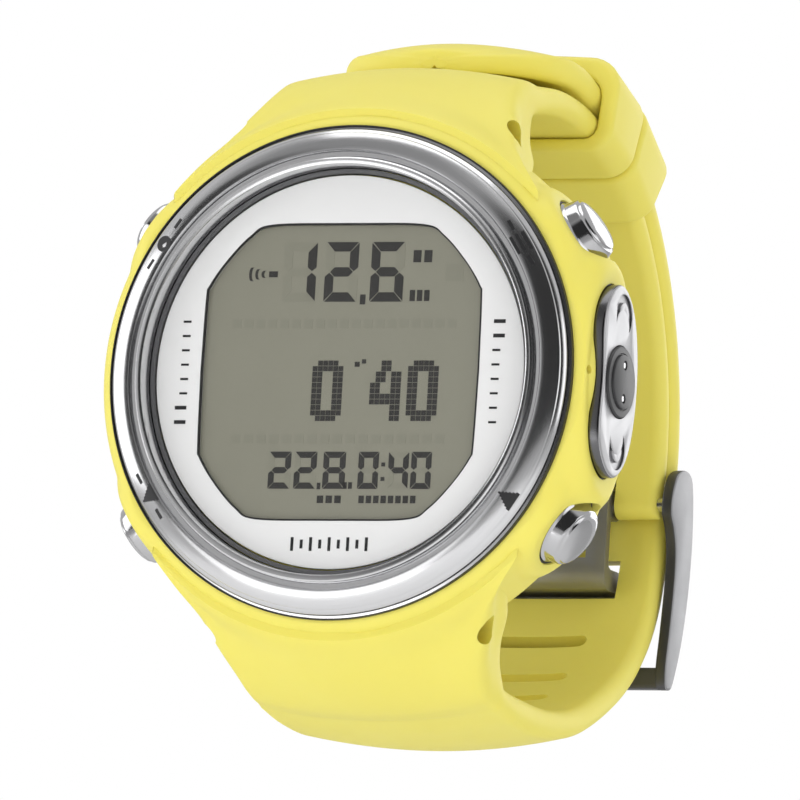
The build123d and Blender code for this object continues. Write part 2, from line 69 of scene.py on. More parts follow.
# ---- shader groups -------------------------------------------------------------------------------
def new_group(name, inputs, outputs):
    """Empty shader group with float inputs {name: default} and outputs {name: socket type}."""
    group = bpy.data.node_groups.new(name, "ShaderNodeTree")
    for label, value in inputs.items():
        socket = group.interface.new_socket(name=label, in_out="INPUT", socket_type="NodeSocketFloat")
        socket.default_value = value
    for label, kind in outputs.items():
        group.interface.new_socket(name=label, in_out="OUTPUT", socket_type=kind)
    return group, group.nodes.new("NodeGroupInput"), group.nodes.new("NodeGroupOutput")


def maths(tree, operation, a, b=None, c=None, clamp=False):
    """Math node fed by numbers or sockets; returns its output."""
    node = tree.nodes.new("ShaderNodeMath")
    node.operation = operation
    node.use_clamp = clamp
    for slot, value in enumerate((a, b, c)):
        if value is None:
            continue
        if isinstance(value, (int, float)):
            node.inputs[slot].default_value = value
        else:
            tree.links.new(value, node.inputs[slot])
    return node.outputs[0]


def noise_at(tree, scale, detail=3.0, vector=None, roughness=0.55):
    node = tree.nodes.new("ShaderNodeTexNoise")
    node.inputs["Detail"].default_value = detail
    node.inputs["Roughness"].default_value = roughness
    if isinstance(scale, (int, float)):
        node.inputs["Scale"].default_value = scale
    else:
        tree.links.new(scale, node.inputs["Scale"])
    if vector is None:
        vector = tree.nodes.new("ShaderNodeTexCoord").outputs["Object"]
    tree.links.new(vector, node.inputs["Vector"])
    return node.outputs["Fac"]


def rough_between(group, given, share):
    """Roughness that goes from the group's low value to its high one."""
    spread = maths(group, "SUBTRACT", given.outputs["Rough high"], given.outputs["Rough low"])
    return maths(group, "MULTIPLY_ADD", share, spread, given.outputs["Rough low"])


def moulded_grain_group():
    """Fine moulded skin with faint cloudy shade and scattered scuffs."""
    group, given, out = new_group(
        "moulded_grain", {"Grain scale": 6000.0, "Grain height": 0.5, "Rough low": 0.4, "Rough high": 0.6},
        {"Height": "NodeSocketFloat", "Roughness": "NodeSocketFloat", "Shade": "NodeSocketFloat"},
    )
    fine = noise_at(group, given.outputs["Grain scale"], 4.0)
    cloud = noise_at(group, 160.0, 3.0)
    scuff = noise_at(group, 900.0, 6.0, roughness=0.7)
    height = maths(group, "MULTIPLY", fine, given.outputs["Grain height"])
    group.links.new(height, out.inputs["Height"])
    mixed = maths(group, "MULTIPLY_ADD", cloud, 0.6, maths(group, "MULTIPLY", scuff, 0.4))
    group.links.new(rough_between(group, given, mixed), out.inputs["Roughness"])
    group.links.new(maths(group, "MULTIPLY_ADD", cloud, 0.6, 0.2, clamp=True), out.inputs["Shade"])
    return group


def ring_brush_group():
    """Fine turned lines round the case axis, with small nicks."""
    group, given, out = new_group(
        "ring_brush", {"Line scale": 9000.0, "Line height": 0.5, "Rough low": 0.15, "Rough high": 0.35},
        {"Height": "NodeSocketFloat", "Roughness": "NodeSocketFloat", "Shade": "NodeSocketFloat"},
    )
    coords = group.nodes.new("ShaderNodeTexCoord").outputs["Object"]
    split = group.nodes.new("ShaderNodeSeparateXYZ")
    group.links.new(coords, split.inputs[0])
    x, z = split.outputs[0], split.outputs[2]
    squares = maths(group, "ADD", maths(group, "MULTIPLY", x, x), maths(group, "MULTIPLY", z, z))
    radius = maths(group, "SQRT", squares)
    angle = maths(group, "MULTIPLY", maths(group, "ARCTAN2", z, x), 0.0004)
    join = group.nodes.new("ShaderNodeCombineXYZ")
    group.links.new(radius, join.inputs[0])
    group.links.new(angle, join.inputs[1])
    group.links.new(split.outputs[1], join.inputs[2])
    lines = noise_at(group, given.outputs["Line scale"], 2.0, join.outputs[0])
    nicks = noise_at(group, 1400.0, 6.0, roughness=0.75)
    group.links.new(maths(group, "MULTIPLY", lines, given.outputs["Line height"]), out.inputs["Height"])
    mixed = maths(group, "MULTIPLY_ADD", lines, 0.7, maths(group, "MULTIPLY", nicks, 0.3))
    group.links.new(rough_between(group, given, mixed), out.inputs["Roughness"])
    group.links.new(lines, out.inputs["Shade"])
    return group


def satin_metal_group():
    """Blasted or polished metal: speckle, soft blotches and hairline scratches."""
    group, given, out = new_group(
        "satin_metal", {"Speckle scale": 7000.0, "Speckle height": 0.4, "Rough low": 0.2, "Rough high": 0.4},
        {"Height": "NodeSocketFloat", "Roughness": "NodeSocketFloat", "Shade": "NodeSocketFloat"},
    )
    speckle = noise_at(group, given.outputs["Speckle scale"], 3.0)
    blotch = noise_at(group, 260.0, 3.0)
    mapping = group.nodes.new("ShaderNodeMapping")
    mapping.inputs["Scale"].default_value = (1.0, 0.25, 9.0)
    mapping.inputs["Rotation"].default_value = (0.3, 0.7, 0.2)
    group.links.new(group.nodes.new("ShaderNodeTexCoord").outputs["Object"], mapping.inputs["Vector"])
    scratch = noise_at(group, 900.0, 5.0, mapping.outputs[0], roughness=0.8)
    group.links.new(maths(group, "MULTIPLY", speckle, given.outputs["Speckle height"]), out.inputs["Height"])
    mixed = maths(group, "MULTIPLY_ADD", scratch, 0.5, maths(group, "MULTIPLY", blotch, 0.5))
    group.links.new(rough_between(group, given, mixed), out.inputs["Roughness"])
    group.links.new(blotch, out.inputs["Shade"])
    return group


GRAIN = moulded_grain_group()
BRUSH = ring_brush_group()
SATIN = satin_metal_group()


# ---- materials -----------------------------------------------------------------------------------
def finish(name, group, light, dark, values, bump=0.1, distance=0.00003, **sockets):
    """Principled material whose colour, roughness and bump come from one shader group."""
    material = bpy.data.materials.new(name)
    material.use_nodes = True
    tree = material.node_tree
    shader = tree.nodes["Principled BSDF"]
    effect = tree.nodes.new("ShaderNodeGroup")
    effect.node_tree = group
    for label, value in values.items():
        effect.inputs[label].default_value = value
    blend = tree.nodes.new("ShaderNodeMix")
    blend.data_type = "RGBA"
    blend.inputs[6].default_value = (*light, 1.0)
    blend.inputs[7].default_value = (*dark, 1.0)
    tree.links.new(effect.outputs["Shade"], blend.inputs[0])
    tree.links.new(blend.outputs[2], shader.inputs["Base Color"])
    tree.links.new(effect.outputs["Roughness"], shader.inputs["Roughness"])
    relief = tree.nodes.new("ShaderNodeBump")
    relief.inputs["Strength"].default_value = bump
    relief.inputs["Distance"].default_value = distance
    tree.links.new(effect.outputs["Height"], relief.inputs["Height"])
    tree.links.new(relief.outputs["Normal"], shader.inputs["Normal"])
    for label, value in sockets.items():
        shader.inputs[label.replace("_", " ")].default_value = value
    return material


def grain_values(scale, height, low, high):
    return {"Grain scale": scale, "Grain height": height, "Rough low": low, "Rough high": high}


def brush_values(scale, height, low, high):
    return {"Line scale": scale, "Line height": height, "Rough low": low, "Rough high": high}


def satin_values(scale, height, low, high):
    return {"Speckle scale": scale, "Speckle height": height, "Rough low": low, "Rough high": high}


def yellow(name, low, high, strength):
    shader_values = grain_values(9000.0, 0.6, low, high)
    return finish(
        name, GRAIN, (0.84, 0.755, 0.150), (0.80, 0.705, 0.120), shader_values, strength, 0.00004,
        Subsurface_Weight=0.12, Subsurface_Scale=0.0015, Subsurface_Radius=(1.0, 0.75, 0.2),
        Specular_IOR_Level=0.4,
    )


CASE_YELLOW = yellow("case_yellow", 0.42, 0.58, 0.25)
STRAP_YELLOW = yellow("strap_yellow", 0.46, 0.62, 0.35)
KEEPER_YELLOW = yellow("keeper_yellow", 0.45, 0.60, 0.30)
BEZEL_STEEL = finish("bezel_steel", BRUSH, (0.72, 0.72, 0.73), (0.62, 0.62, 0.63),
                     brush_values(14000.0, 0.6, 0.12, 0.26), 0.12, 0.00002, Metallic=1.0)
BUTTON_STEEL = finish("button_steel", SATIN, (0.58, 0.58, 0.59), (0.50, 0.50, 0.51),
                      satin_values(9000.0, 0.3, 0.06, 0.18), 0.06, 0.00002, Metallic=1.0)
PIN_STEEL = finish("pin_steel", SATIN, (0.66, 0.66, 0.67), (0.55, 0.55, 0.56),
                   satin_values(8000.0, 0.4, 0.15, 0.35), 0.1, 0.00002, Metallic=1.0)
POD_STEEL = finish("pod_steel", SATIN, (0.50, 0.50, 0.51), (0.40, 0.40, 0.41),
                   satin_values(12000.0, 0.6, 0.28, 0.42), 0.2, 0.00003, Metallic=1.0)
BUCKLE_STEEL = finish("buckle_steel", SATIN, (0.37, 0.37, 0.38), (0.31, 0.31, 0.32),
                      satin_values(14000.0, 0.8, 0.38, 0.55), 0.35, 0.00004, Metallic=0.9)
# Painted shade: near-black steel for the buckle faces that don't look out along X.
BUCKLE_PAINTED_SHADE = finish("buckle_painted_shade", SATIN, (0.085, 0.085, 0.088), (0.065, 0.065, 0.068),
                     satin_values(14000.0, 0.8, 0.35, 0.5), 0.35, 0.00004, Metallic=0.6)
# Painted shade: dark steel for the contact plate faces that don't look out along X.
POD_PAINTED_SHADE = finish("pod_painted_shade", SATIN, (0.16, 0.16, 0.165), (0.12, 0.12, 0.125),
                  satin_values(12000.0, 0.6, 0.15, 0.3), 0.15, 0.00003, Metallic=1.0)
BACK_STEEL = finish("back_steel", BRUSH, (0.58, 0.58, 0.59), (0.47, 0.47, 0.48),
                    brush_values(9000.0, 0.7, 0.22, 0.42), 0.25, 0.00003, Metallic=1.0)
COVER_BLACK = finish("cover_black", GRAIN, (0.022, 0.022, 0.024), (0.035, 0.035, 0.037),
                     grain_values(12000.0, 0.9, 0.4, 0.6), 0.5, 0.00006)
DIAL_WHITE = finish("dial_white", GRAIN, (0.96, 0.96, 0.955), (0.94, 0.94, 0.935),
                    grain_values(16000.0, 0.3, 0.35, 0.5), 0.08, 0.00002)
PRINT_BLACK = finish("print_black", GRAIN, (0.012, 0.012, 0.013), (0.02, 0.02, 0.021),
                     grain_values(16000.0, 0.4, 0.35, 0.5), 0.1, 0.00002)
DISPLAY_GREY = finish("display_grey", GRAIN, (0.285, 0.280, 0.218), (0.265, 0.260, 0.202),
                      grain_values(22000.0, 0.8, 0.3, 0.45), 0.15, 0.00002)
GHOST_GREY = finish("ghost_grey", GRAIN, (0.262, 0.257, 0.200), (0.252, 0.247, 0.192),
                    grain_values(22000.0, 0.8, 0.3, 0.45), 0.15, 0.00002)
SEGMENT_DARK = finish("segment_dark", GRAIN, (0.030, 0.029, 0.027), (0.040, 0.038, 0.036),
                      grain_values(22000.0, 0.6, 0.3, 0.45), 0.1, 0.00002)
CONTACT_BLACK = finish("contact_black", GRAIN, (0.040, 0.040, 0.042), (0.030, 0.030, 0.032),
                       grain_values(12000.0, 0.6, 0.3, 0.5), 0.2, 0.00003)
# Black of the rubber seals, and also painted shadow in the bezel seam, the pod gap and the button rings.
SEAL_BLACK_AND_PAINTED_SHADOW = finish("seal_black_and_painted_shadow", GRAIN, (0.012, 0.012, 0.012), (0.02, 0.02, 0.02),
                    grain_values(9000.0, 0.6, 0.35, 0.6), 0.2, 0.00003)
SEAL_GREY = finish("seal_grey", GRAIN, (0.15, 0.15, 0.155), (0.11, 0.11, 0.115),
                   grain_values(9000.0, 0.6, 0.35, 0.6), 0.2, 0.00003)
BOARD_GREEN = finish("board_green", GRAIN, (0.02, 0.13, 0.05), (0.015, 0.10, 0.04),
                     grain_values(5000.0, 0.6, 0.2, 0.4), 0.2, 0.00003)
SPRING_BRASS = finish("spring_brass", SATIN, (0.62, 0.46, 0.20), (0.52, 0.38, 0.16),
                      satin_values(6000.0, 0.5, 0.2, 0.4), 0.1, 0.00002, Metallic=1.0)
LIGHT_GUIDE = finish("light_guide", GRAIN, (0.75, 0.80, 0.76), (0.68, 0.74, 0.70),
                     grain_values(9000.0, 0.4, 0.2, 0.35), 0.1, 0.00002)


def clear_glass():
    return finish("crystal_clear", SATIN, (0.02, 0.022, 0.022), (0.03, 0.032, 0.032),
                  satin_values(3000.0, 0.05, 0.01, 0.05), 0.01, 0.00001, Alpha=0.06)


CRYSTAL_CLEAR = clear_glass()


# ---- mesh tools ----------------------------------------------------------------------------------
def raw_object(name, points, faces):
    """Object from millimetre points and faces, with outward normals."""
    mesh = bpy.data.meshes.new(name)
    mesh.from_pydata([place(*p) for p in points], [], faces)
    bm = bmesh.new()
    bm.from_mesh(mesh)
    bmesh.ops.remove_doubles(bm, verts=bm.verts, dist=1e-7)
    bmesh.ops.recalc_face_normals(bm, faces=bm.faces)
    if bm.calc_volume(signed=True) < 0:
        bmesh.ops.reverse_faces(bm, faces=bm.faces)
    bm.to_mesh(mesh)
    bm.free()
    obj = bpy.data.objects.new(name, mesh)
    bpy.context.scene.collection.objects.link(obj)
    return obj


def lofted(name, rings, wrap=False):
    """Closed skin through rings of equal length; wrap joins the last ring to the first."""
    count = len(rings[0])
    points = [p for ring in rings for p in ring]
    faces = []
    last = len(rings) if wrap else len(rings) - 1
    for row in range(last):
        a, b = row * count, ((row + 1) % len(rings)) * count
        for k in range(count):
            n = (k + 1) % count
            faces.append((a + k, a + n, b + n, b + k))
    if not wrap:
        faces.append(tuple(reversed(range(count))))
        faces.append(tuple(range((len(rings) - 1) * count, len(rings) * count)))
    return raw_object(name, points, faces)


def turned_rings(profile, steps):
    """Rings of a closed (radius, depth) profile turned round the case axis."""
    rings = []
    for k in range(steps):
        a = 2 * pi * k / steps
        rings.append([(r * sin(a), d, r * cos(a)) for r, d in profile])
    return rings


def turned(name, profile, steps=192):
    return lofted(name, turned_rings(profile, steps), wrap=True)


def slab(name, outline, low, high, axis="x"):
    """Flat plate from an outline: (depth, z) along x, or (x, z) along depth."""
    count = len(outline)
    if axis == "x":
        points = [(low, d, z) for d, z in outline] + [(high, d, z) for d, z in outline]
    else:
        points = [(x, low, z) for x, z in outline] + [(x, high, z) for x, z in outline]
    faces = [tuple(reversed(range(count))), tuple(range(count, 2 * count))]
    for k in range(count):
        n = (k + 1) % count
        faces.append((k, n, count + n, count + k))
    return raw_object(name, points, faces)


def smooth_line(points, steps, closed=False):
    """Even curve through every point (Catmull-Rom)."""
    out = []
    count = len(points)
    spans = count if closed else count - 1

    def pick(i):
        if closed:
            return points[i % count]
        if i < 0:
            return tuple(2 * a - b for a, b in zip(points[0], points[1]))
        if i >= count:
            return tuple(2 * a - b for a, b in zip(points[-1], points[-2]))
        return points[i]

    def between(a, b, c, d, t):
        square = (2 * a - 5 * b + 4 * c - d) * t * t
        return 0.5 * (2 * b + (c - a) * t + square + (3 * b - a - 3 * c + d) * t ** 3)

    for span in range(spans):
        corners = [pick(span + k) for k in (-1, 0, 1, 2)]
        for step in range(steps):
            out.append(tuple(between(*four, step / steps) for four in zip(*corners)))
    if not closed:
        out.append(tuple(points[-1]))
    return out


def applied(obj):
    """Bakes the object's modifiers into its mesh."""
    depsgraph = bpy.context.evaluated_depsgraph_get()
    mesh = bpy.data.meshes.new_from_object(obj.evaluated_get(depsgraph))
    obj.modifiers.clear()
    obj.data = mesh
    return obj


def cut(obj, cutters, operation="DIFFERENCE", folded=False):
    """Takes each cutter out of the object, or joins it on, and removes the cutter.

    folded is for an object whose own faces may cross."""
    for cutter in cutters:
        modifier = obj.modifiers.new("cut", "BOOLEAN")
        modifier.operation = operation
        modifier.solver = "EXACT"
        modifier.use_self = folded
        modifier.object = cutter
    applied(obj)
    for cutter in cutters:
        bpy.data.objects.remove(cutter)
    return obj


def edge_rounded(obj, width, segments=3, angle=30.0):
    modifier = obj.modifiers.new("edge", "BEVEL")
    modifier.width = width * MM
    modifier.segments = segments
    modifier.limit_method = "ANGLE"
    modifier.angle_limit = radians(angle)
    modifier.use_clamp_overlap = True
    return applied(obj)


def dressed(obj, material, body, nodes=(), crease=38.0):
    """Gives a finished piece its shading, finish and body, and hides the model parts it stands for."""
    mesh = obj.data
    mesh.materials.clear()
    mesh.materials.append(material)
    mesh.polygons.foreach_set("material_index", [0] * len(mesh.polygons))
    mesh.polygons.foreach_set("use_smooth", [True] * len(mesh.polygons))
    mesh.set_sharp_from_angle(angle=radians(crease))
    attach(obj, body)
    if nodes:
        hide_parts(*nodes)
    return obj


def painted_shade_sides(obj, material, least_x=0.6):
    """Painted shade: a second, darker material on every face that doesn't look out along X."""
    obj.data.materials.append(material)
    for face in obj.data.polygons:
        outward = face.normal.x * (1 if face.center.x > 0 else -1)
        if outward < least_x:
            face.material_index = 1
    return obj


def joined(name, objs):
    """One object out of several loose ones."""
    bm = bmesh.new()
    for obj in objs:
        bm.from_mesh(obj.data)
        bpy.data.objects.remove(obj)
    mesh = bpy.data.meshes.new(name)
    bm.to_mesh(mesh)
    bm.free()
    obj = bpy.data.objects.new(name, mesh)
    bpy.context.scene.collection.objects.link(obj)
    return obj


def round_bar(name, start, end, radius, steps=32):
    """Straight round bar between two millimetre points."""
    a, b = Vector(start), Vector(end)
    along = (b - a).normalized()
    side = along.orthogonal().normalized()
    other = along.cross(side)
    rings = []
    for point in (a, b):
        ring = []
        for k in range(steps):
            t = 2 * pi * k / steps
            ring.append(tuple(point + radius * (cos(t) * side + sin(t) * other)))
        rings.append(ring)
    return lofted(name, rings)


def axis_turned(name, angle, profile, steps=96):
    """Closed (radius, distance) profile turned round a button axis."""
    a = radians(angle)
    along = Vector((cos(a), 0, sin(a)))
    side = Vector((0, 1, 0))
    other = along.cross(side)
    centre = Vector((0, BUTTON_DEPTH, 0))
    rings = []
    for k in range(steps):
        t = 2 * pi * k / steps
        spoke = cos(t) * side + sin(t) * other
        rings.append([tuple(centre + along * d + spoke * r) for r, d in profile])
    return lofted(name, rings, wrap=True)


def ease(t):
    t = min(1.0, max(0.0, t))
    return t * t * (3 - 2 * t)


# ---- case ----------------------------------------------------------------------------------------
CASE_SHOULDER = [(22.3, 0.62), (22.75, 0.72), (23.4, 1.3), (23.85, 2.3), (24.0, 4.0), (24.0, 7.6), (23.7, 9.6),
                 (22.6, 11.7), (21.0, 13.1), (19.4, 13.6)]
POD_MIDDLE = 6.0             # depth its outline grows from


def pod_outline(grow):
    half = [(6.0, 8.7), (8.4, 7.3), (9.9, 4.4), (10.5, 0.0), (9.9, -4.4), (8.4, -7.3), (6.0, -8.7),
            (3.5, -7.7), (2.0, -5.0), (2.3, 0.0), (2.0, 5.0), (3.5, 7.7)]
    out = []
    for d, z in half:
        k = 1 + grow / hypot(d - POD_MIDDLE, z)
        out.append((POD_MIDDLE + (d - POD_MIDDLE) * k, z * k))
    return smooth_line(out, 6, closed=True)


BOSS_TOP, BOSS_REACH, BOSS_BLEND = 24.3, 6.2, 1.9
SEAT_HALF_DEPTH, SEAT_HALF_Z = 4.75, 9.3


def swollen(x, d, z):
    """Moves a case flank point out to the button bosses and the pod seat."""
    for angle in BUTTONS.values():
        a = radians(angle)
        along = x * cos(a) + z * sin(a)
        if along < 15:
            continue
        off = hypot(hypot(x - along * cos(a), z - along * sin(a)), d - BUTTON_DEPTH)
        lift = ease((BOSS_REACH - off) / BOSS_BLEND) * max(0.0, BOSS_TOP - along)
        x, z = x + lift * cos(a), z + lift * sin(a)
    if x > 15:
        reach = hypot((d - POD_DEPTH) / SEAT_HALF_DEPTH, z / SEAT_HALF_Z)
        x += ease((1.42 - reach) / 0.34) * max(0.0, POD_X - x)
    return x, d, z


WELL_R = 3.62


def case_shell():
    outer = smooth_line(CASE_SHOULDER, 5)
    inside = [(18.5, 13.65), (18.5, 12.0), (16.8, 12.0), (16.8, 1.1), (18.4, 1.1), (18.4, 0.62)]
    rings = []
    for ring in turned_rings(outer + inside, 420):
        rings.append([swollen(*p) if hypot(p[0], p[2]) > 19.5 else p for p in ring])
    shell = lofted("case_shell", rings, wrap=True)
    wells = []
    for angle in BUTTONS.values():
        a = radians(angle)
        start = (22.5 * cos(a), BUTTON_DEPTH, 22.5 * sin(a))
        end = (27.0 * cos(a), BUTTON_DEPTH, 27.0 * sin(a))
        wells.append(round_bar("well", start, end, WELL_R, 64))
    wells.append(slab("pocket", pod_outline(0.12), 22.4, 26.0))
    wells.append(round_bar("dimple", (21.9, 1.75, 0.4), (24.5, 1.0, 0.4), 0.42))
    cut(shell, wells)
    shell = edge_rounded(shell, 0.16, 2, 50.0)
    return dressed(shell, CASE_YELLOW, "watch", ["case_body"])


def bezel():
    rise = BEZEL_RISE
    profile = [
        (18.42, 0.5), (18.42, -0.2), (18.5, -rise + 0.35), (18.62, -rise + 0.08), (18.8, -rise),
        (19.05, -rise), (19.18, -rise + 0.1), (19.24, -rise + 0.3), (19.26, -1.14), (19.34, -1.05),
        (19.74, -1.05), (19.82, -1.12), (19.84, -1.36), (19.92, -1.44), (20.04, -1.44), (20.6, -1.26),
        (21.2, -0.98), (21.52, -0.74), (21.58, -0.62), (21.66, -0.58), (21.86, -0.36), (BEZEL_R - 0.02, -0.16),
        (BEZEL_R, 0.0), (22.02, 0.2), (22.28, 0.28), (22.28, 0.5),
    ]
    ring = turned("bezel", profile, 360)
    return dressed(ring, BEZEL_STEEL, "watch", ["bezel_ring"], 24.0)


def bezel_seam():
    """Dark shadow line of the seal between bezel and case."""
    ring = turned("bezel_seam", [(22.29, 0.1), (22.36, 0.1), (22.36, 0.6), (22.29, 0.6)], 240)
    return dressed(ring, SEAL_BLACK_AND_PAINTED_SHADOW, "watch")


BAND_INNER_R, BAND_INNER_DEPTH = 20.04, -1.44
MARK_R = 20.75               # middle of the signs on the bezel band
MARK_SINK, MARK_STAND = 0.06, 0.04


def bezel_mark(name, angle, shapes):
    """Small engraved sign laid on the bezel band; shapes are outlines in (across, out) about its middle."""
    a = radians(angle)
    outward = Vector((cos(a), sin(a)))
    across = Vector((-sin(a), cos(a)))
    parts = []
    for outline in shapes:
        lower, upper = [], []
        for s, o in outline:
            spot = outward * (MARK_R + o) + across * s
            depth = bezel_band_depth(spot.length)
            lower.append((spot.x, depth + MARK_SINK, spot.y))
            upper.append((spot.x, depth - MARK_STAND, spot.y))
        parts.append(lofted("mark", [lower, upper]))
    mark = joined(name, parts)
    return dressed(mark, PRINT_BLACK, "watch")


def bezel_band_depth(r):
    return BAND_INNER_DEPTH + 0.62 * max(0.0, (r - BAND_INNER_R) / 1.5) ** 1.25


def disc_outline(radius):
    return [(radius * cos(2 * pi * k / 28), radius * sin(2 * pi * k / 28)) for k in range(28)]


def bar_outline(cx, cy, half_w, half_h):
    left, right, low, high = cx - half_w, cx + half_w, cy - half_h, cy + half_h
    return [(left, low), (right, low), (right, high), (left, high)]


def bezel_marks():
    rise = [bar_outline(0, 0.26 * k - 0.65, 0.9 - 0.16 * k, 0.135) for k in range(6)]
    fall = [bar_outline(0, 0.65 - 0.26 * k, 0.9 - 0.16 * k, 0.135) for k in range(6)]
    bars = [bar_outline(0, k * 0.55, 0.9, 0.14) for k in (-1, 0, 1)]

    def dashes(reach):
        return [bar_outline(side * reach, 0, 0.5, 0.14) for side in (-1, 1)]

    bezel_mark("mark_mode", BUTTON_ANGLE, dashes(1.9) + bars)
    bezel_mark("mark_select", 180 - BUTTON_ANGLE, dashes(2.2) + [disc_outline(0.75)])
    bezel_mark("mark_up", -BUTTON_ANGLE, fall)
    bezel_mark("mark_down", 180 + BUTTON_ANGLE, dashes(1.9) + rise)


def crystal():
    profile = [(0.02, -1.28), (17.9, -1.28), (18.15, -1.2), (18.28, -1.05), (18.3, -0.12), (0.02, -0.12)]
    glass = turned("crystal_disc", profile, 160)
    return dressed(glass, CRYSTAL_CLEAR, "watch", ["crystal"])


# ---- dial and display ----------------------------------------------------------------------------
def window_outline(grow=0.0):
    """Rounded octagon with slightly bowed sides, as (x, z)."""
    w, h = 13.25 + grow, 13.2 + grow
    corner = [(7.3, h), (9.4, h - 1.0), (11.6, h - 3.3), (w - 0.25, 7.8), (w, 6.6)]
    quarter = smooth_line([(0.0, h + 0.12)] + corner + [(w + 0.12, 0.0)], 7)
    right = quarter + [(x, -z) for x, z in reversed(quarter[:-1])]
    return right + [(-x, z) for x, z in reversed(right[1:-1])]


def dial():
    section = [(0.02, 0.0), (DIAL_R - 0.15, 0.0), (DIAL_R - 0.02, 0.08), (DIAL_R - 0.02, 0.38), (0.02, 0.38)]
    plate = turned("dial_plate", section, 240)
    cut(plate, [slab("window", window_outline(), -1.0, 1.0, "depth")])
    dressed(plate, DIAL_WHITE, "watch", ["dial_mask"])
    rim_out, rim_in = window_outline(0.14), window_outline(-0.02)
    rings = [[(x, -0.02, z) for x, z in rim_out], [(x, -0.02, z) for x, z in rim_in],
             [(x, 0.3, z) for x, z in rim_in], [(x, 0.3, z) for x, z in rim_out]]
    rim = lofted("window_rim", rings, wrap=True)
    dressed(rim, PRINT_BLACK, "watch")


def printed(name, outline):
    """Thin raised mark on the dial face."""
    return slab(name, outline, -0.03, 0.05, "depth")


def tick_marks():
    """Two scales beside the window: long ticks at one end, short ones along the rest."""
    parts = []
    for side in (-1, 1):
        x = side * 15.05
        for k in range(8):
            z = 4.55 - 1.3 * k
            long_tick = k > 5 if side < 0 else k < 2
            half_w, half_h = (0.56, 0.17) if long_tick else (0.38, 0.1)
            inner = x - side * (0.38 - half_w)
            parts.append(printed("tick", bar_outline(inner, z, half_w, half_h)))
    marks = joined("dial_ticks", parts)
    dressed(marks, PRINT_BLACK, "watch")


def foot_scale():
    """Plain row of short strokes under the window."""
    parts = [printed("stroke", bar_outline(0.9 * k, -15.55, 0.14, 0.62 if k % 2 == 0 else 0.4))
             for k in range(-4, 5)]
    dressed(joined("dial_foot_scale", parts), PRINT_BLACK, "watch")


SEGMENTS_ON = {"0": "abcdef", "1": "bc", "2": "abged", "4": "fgbc", "6": "afgedc", "8": "abcdefg"}


def segment_shapes(x, z, width, height, bar):
    """Outlines of the seven bars of a digit whose lower left corner is (x, z)."""
    half = bar / 2
    gap = bar * 0.09
    mid = z + height / 2
    return {
        "a": [(x + gap, z + height), (x + width - gap, z + height), (x + width - bar, z + height - bar),
              (x + bar, z + height - bar)],
        "g": [(x + bar + gap, mid - half), (x + width - bar - gap, mid - half), (x + width - half - gap, mid),
              (x + width - bar - gap, mid + half), (x + bar + gap, mid + half), (x + half + gap, mid)],
        "d": [(x + gap, z), (x + bar, z + bar), (x + width - bar, z + bar), (x + width - gap, z)],
        "f": [(x, z + height - gap), (x + bar, z + height - bar - gap), (x + bar, mid + half),
              (x + half, mid + gap), (x, mid + half)],
        "b": [(x + width, z + height - gap), (x + width, mid + half), (x + width - half, mid + gap),
              (x + width - bar, mid + half), (x + width - bar, z + height - bar - gap)],
        "e": [(x, z + gap), (x, mid - half), (x + half, mid - gap), (x + bar, mid - half),
              (x + bar, z + bar + gap)],
        "c": [(x + width, z + gap), (x + width - bar, z + bar + gap), (x + width - bar, mid - half),
              (x + width - half, mid - gap), (x + width, mid - half)],
    }


def plate_of(outline, low, high):
    return slab("bit", outline, low, high, "depth")


LCD_FACE = 0.45


def digit_row(places, z, width, height, bar):
    """Seven-bar digits at their places; returns the dark bars and the faint ones."""
    lit, ghosts = [], []
    for char, x in places:
        for label, outline in segment_shapes(x, z, width, height, bar).items():
            (lit if label in SEGMENTS_ON[char] else ghosts).append(outline)
    return lit, ghosts


DOTS = {
    "0": [".####.", "######", "##..##", "##..##", "##..##", "##..##",
          "##..##", "##..##", "##..##", "######", ".####."],
    "4": ["..##..", "..##..", ".##.##", ".##.##", "##..##", "##..##",
          "######", "######", "....##", "....##", "....##"],
}


def dot_digit(char, x, z, pitch):
    """Digit of square dots, lower left corner at (x, z)."""
    rows = DOTS[char]
    half = pitch * 0.455
    return [bar_outline(x + (column + 0.5) * pitch, z + (len(rows) - row - 0.5) * pitch, half, half)
            for row, line in enumerate(rows) for column, dot in enumerate(line) if dot == "#"]


def small_blocks(x_from, x_to, z, count, half_h):
    """Row of small blocks standing for a caption."""
    step = (x_to - x_from) / count
    return [bar_outline(x_from + step * (k + 0.5), z, step * 0.36, half_h) for k in range(count)]


def signal_sign(x, z):
    """Three bent strokes and a bar."""
    shapes = [bar_outline(x + 2.15, z, 0.42, 0.27)]
    for k in range(3):
        reach = 0.62 - 0.15 * k
        left = [(x + 0.6 * k - 0.22 * sin(t), z + reach * cos(t)) for t in (pi * q / 6 for q in range(7))]
        shapes.append(left + [(a + 0.26, b) for a, b in left[::-1]])
    return shapes


